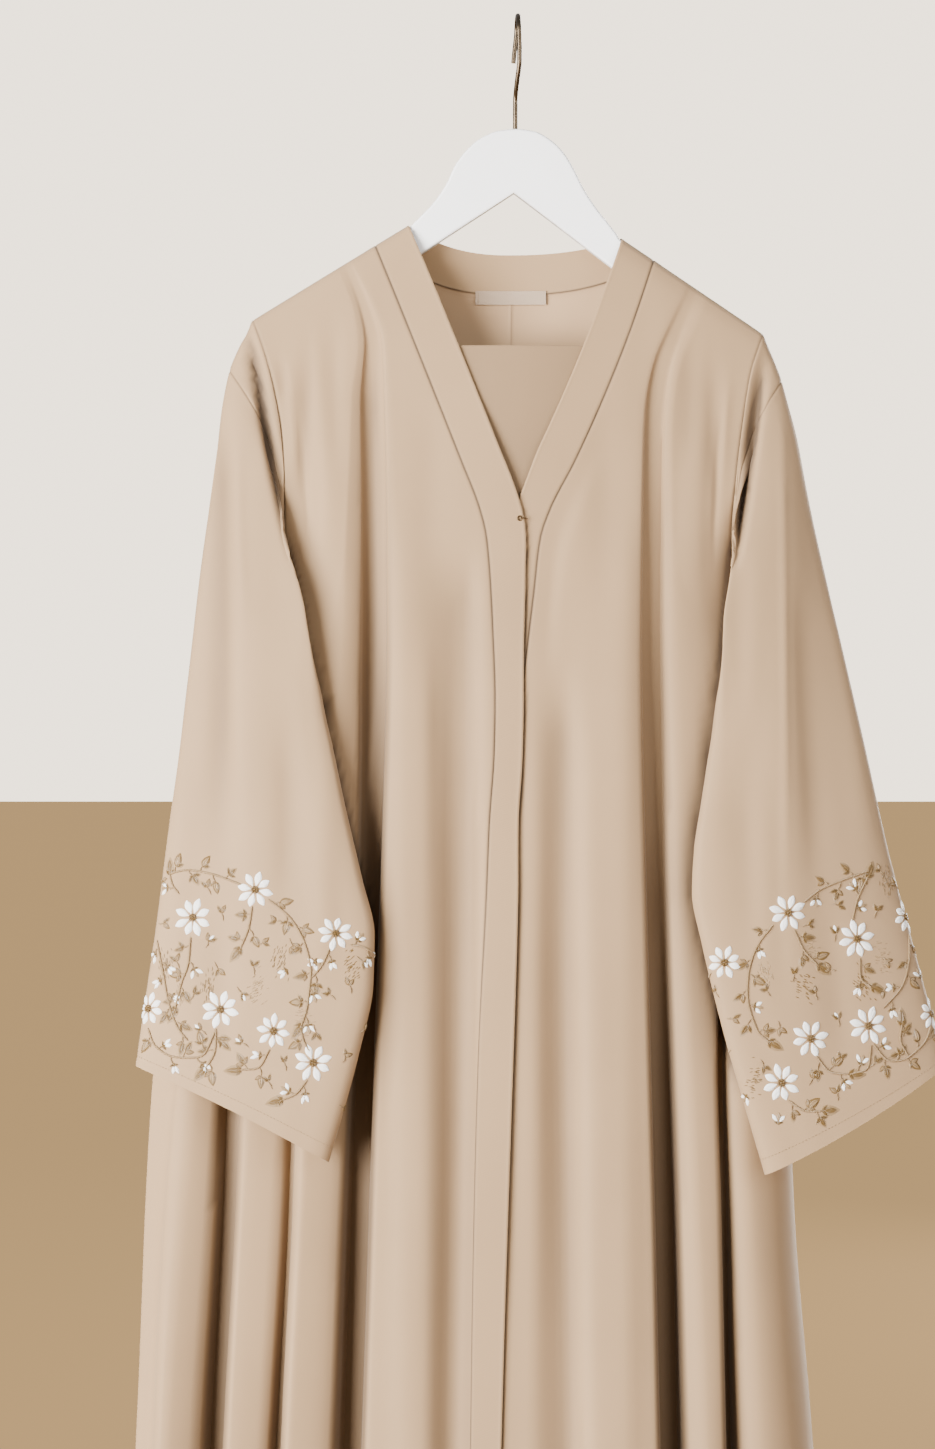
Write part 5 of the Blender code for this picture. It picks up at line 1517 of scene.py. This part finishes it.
def make_curve(name, points, finish, closed=False, **values):
    """A curve object through points in millimetres."""
    curve = bpy.data.curves.new(name, "CURVE")
    for key, value in values.items():
        setattr(curve, key, value)
    line = curve.splines.new("POLY")
    line.points.add(len(points) - 1)
    for point, place in zip(line.points, points):
        point.co = (*(float(value) * MM for value in place), 1)
    line.use_cyclic_u = closed
    line.use_smooth = True
    return riding(name, curve, [finish])


def make_wire(name, points, radius, finish, node):
    """A smooth round wire along the points, in place of a node."""
    made = make_curve(
        name, points, finish, dimensions="3D", bevel_depth=radius * MM, bevel_resolution=7, use_fill_caps=True
    )
    stands_for(node)


def arm_outline(side):
    """Points of one arm of the hanger, from its neck along the top to its end and back below."""
    seam_x, tip_x = SHOULDER[side]["seam"][0], SHOULDER[side]["tip"][0] - side * ARM_SHORT
    neck_x = band_end(side)[0] - ARM_NECK * side
    top = [(x, roof(x) - ARM_DROP) for x in (neck_x, *np.linspace(seam_x, tip_x, 4))]
    end = [(tip_x - side * back, top[-1][1] - down) for back, down in ARM_END]
    inner = side * ARM_INNER
    return top + end + [(inner, roof(inner) - ARM_DROP - ARM_HEIGHT)]


def make_hanger(finish, metal):
    """The hanger's body with a smooth neck and rounded edges, and its wire hook."""
    neck = smooth_line(HANGER_TOP, NECK_STEP).tolist()
    outline = neck + arm_outline(RIGHT) + [HANGER_NOTCH] + arm_outline(LEFT)[::-1]
    round_edge = HANGER_EASE * MM
    made = make_curve(
        "hanger_fine", [(x, z, 0) for x, z in outline], finish, closed=True, dimensions="2D",
        fill_mode="BOTH", extrude=HANGER_WALL / 2 * MM - round_edge, bevel_depth=round_edge,
        bevel_resolution=5, offset=-round_edge,
    )
    made.rotation_euler = (math.pi / 2, 0, 0)
    stands_for("hanger_body")
    radius = HOOK_INNER + HOOK_WIRE / 2
    path = [(x, radius, z) for x, z in HOOK_END]
    for share in np.linspace(0, 1, BEND_POINTS):
        angle = math.pi * share
        path.append((mix(*HOOK_LEAN, share), radius * math.cos(angle), radius * math.sin(angle) - HOOK_INNER))
    shank = [*HOOK_SHANK, (HOOK_SHANK[-1][0], 0, max(z for _, z in HANGER_TOP) - HOOK_DEEP)]
    path += smooth_line(shank, SHANK_STEP).tolist()
    make_wire("hook_wire", path, HOOK_WIRE / 2, metal, "hanger_hook")


def make_clasp(metal):
    """A ring on the left band, and a bar through it and over the band's edge."""
    face = hang(LEFT, "front", RING["x"], CLASP_Z)
    ring = []
    for angle in np.radians(np.linspace(RING["start"], RING["end"], RING_POINTS)):
        x = RING["x"] + RING["radius"] * math.cos(angle)
        ring.append((x, -face - CLASP_WIRE - SEAM, CLASP_Z + RING["radius"] * math.sin(angle)))
    make_wire("clasp_ring", ring, CLASP_WIRE, metal, "clasp_eye")
    bar = smooth_line([(x, -face - out, CLASP_Z) for x, out in CLASP_BAR], BAR_STEP)
    make_wire("clasp_bar", bar, CLASP_WIRE, metal, "clasp_hook")


# ---- setting ----


def in_scene(name, data, place=(0, 0, 0), turn=(0, 0, 0)):
    made = bpy.data.objects.new(name, data)
    made.location, made.rotation_euler = place, turn
    bpy.context.scene.collection.objects.link(made)
    return made


def staged(name, corners, faces, finish, place=(0, 0, 0)):
    """A large plain mesh in metres that is only the part's stage."""
    mesh = bpy.data.meshes.new(name)
    mesh.from_pydata(corners, [], faces)
    mesh.materials.append(finish)
    made = in_scene(name, mesh, place)
    return made


def area_light(name, place, aim, size, power, colour):
    light = bpy.data.lights.new(name, "AREA")
    light.shape = "RECTANGLE"
    light.size, light.size_y = size
    light.energy = power
    light.color = colour
    run = np.array(aim, float) - np.array(place, float)
    yaw = math.atan2(run[1], run[0]) - math.pi / 2
    pitch = math.atan2(run[2], math.hypot(run[0], run[1]))
    in_scene(name, light, place, (math.pi / 2 + pitch, 0, yaw))


def make_backdrop():
    """An even pale wall far behind everything, which only the camera sees."""
    ends = (-BACKDROP_HALF, BACKDROP_HALF)
    corners = [(x, y, z) for x in ends for y in ends for z in ends]
    faces = [(0, 1, 3, 2), (4, 6, 7, 5), (0, 4, 5, 1), (2, 3, 7, 6), (0, 2, 6, 4), (1, 5, 7, 3)]
    power = BACKDROP_COLOUR[0]
    glow = glowing([value / power for value in BACKDROP_COLOUR], power)
    finish = new_finish("backdrop", Base_Color=(0, 0, 0, 1), Roughness=1.0, **glow)[0]
    wall = staged("backdrop", corners, faces, finish)
    for way in ("diffuse", "glossy", "transmission", "shadow"):
        setattr(wall, "visible_" + way, False)


def make_setting():
    """The floor, the even surround, the lights and the camera."""
    size = FLOOR_HALF
    corners = [(-size, -size, 0), (size, -size, 0), (size, size, 0), (-size, size, 0)]
    finish = mottled("floor", FLOOR_LOW, FLOOR_HIGH, 0.6, 3.0, Roughness=0.7, **glowing(FLOOR_GLOW, 1.0))
    staged("floor", corners, [(0, 1, 2, 3)], finish, (0, 0, FLOOR_Z))
    make_backdrop()
    world = bpy.data.worlds.new("surround")
    world.use_nodes = True
    settings(world.node_tree.nodes["Background"], Color=(*WORLD_COLOUR, 1), Strength=WORLD_POWER)
    bpy.context.scene.world = world
    for name, row in LIGHTS.items():
        area_light(name, **row)
    data = bpy.data.cameras.new("view")
    data.lens, data.sensor_width, data.clip_end = CAMERA["lens"], CAMERA["sensor"], CAMERA["far"]
    bpy.context.scene.camera = in_scene("view", data, CAMERA["place"], (math.pi / 2, 0, 0))


make_setting()
# The inside's finish is the cloth's in a lighter colour, as painted light.
cloth, inside_lightened = crepe("beige_crepe", CLOTH_COLOUR), crepe("beige_crepe_inside_lightened", INSIDE_LIGHTENED_COLOUR)
threads = [thread(name, *row) for name, row in THREADS.items()]
white = mottled(
    "white_satin", *PLASTIC_TONES, 14.0, 4.0, 1200.0, 0.06,
    Roughness=0.34, Coat_Weight=0.2, Coat_Roughness=0.3,
)
tape = ribbed("woven_tape", *LABEL_TONES, 0.3, 0.7, 0.4, dict(Scale=520.0), Roughness=0.5, Sheen_Weight=0.1)
rows = body_rows()
coarse, lap = {}, None
for each in SIDES:
    coarse[each], lap = make_side(each, rows, lap, cloth, inside_lightened)
    make_sleeve(each, coarse[each]["sleeve"], cloth, threads)
make_neckband(coarse, cloth)
make_inner_panel(coarse, cloth)
make_label(tape, threads[BEIGE_THREAD])
make_hanger(white, wire("bronze", HOOK_TONES, 0.32))
make_clasp(wire("clasp_bronze", CLASP_TONES, 0.28))
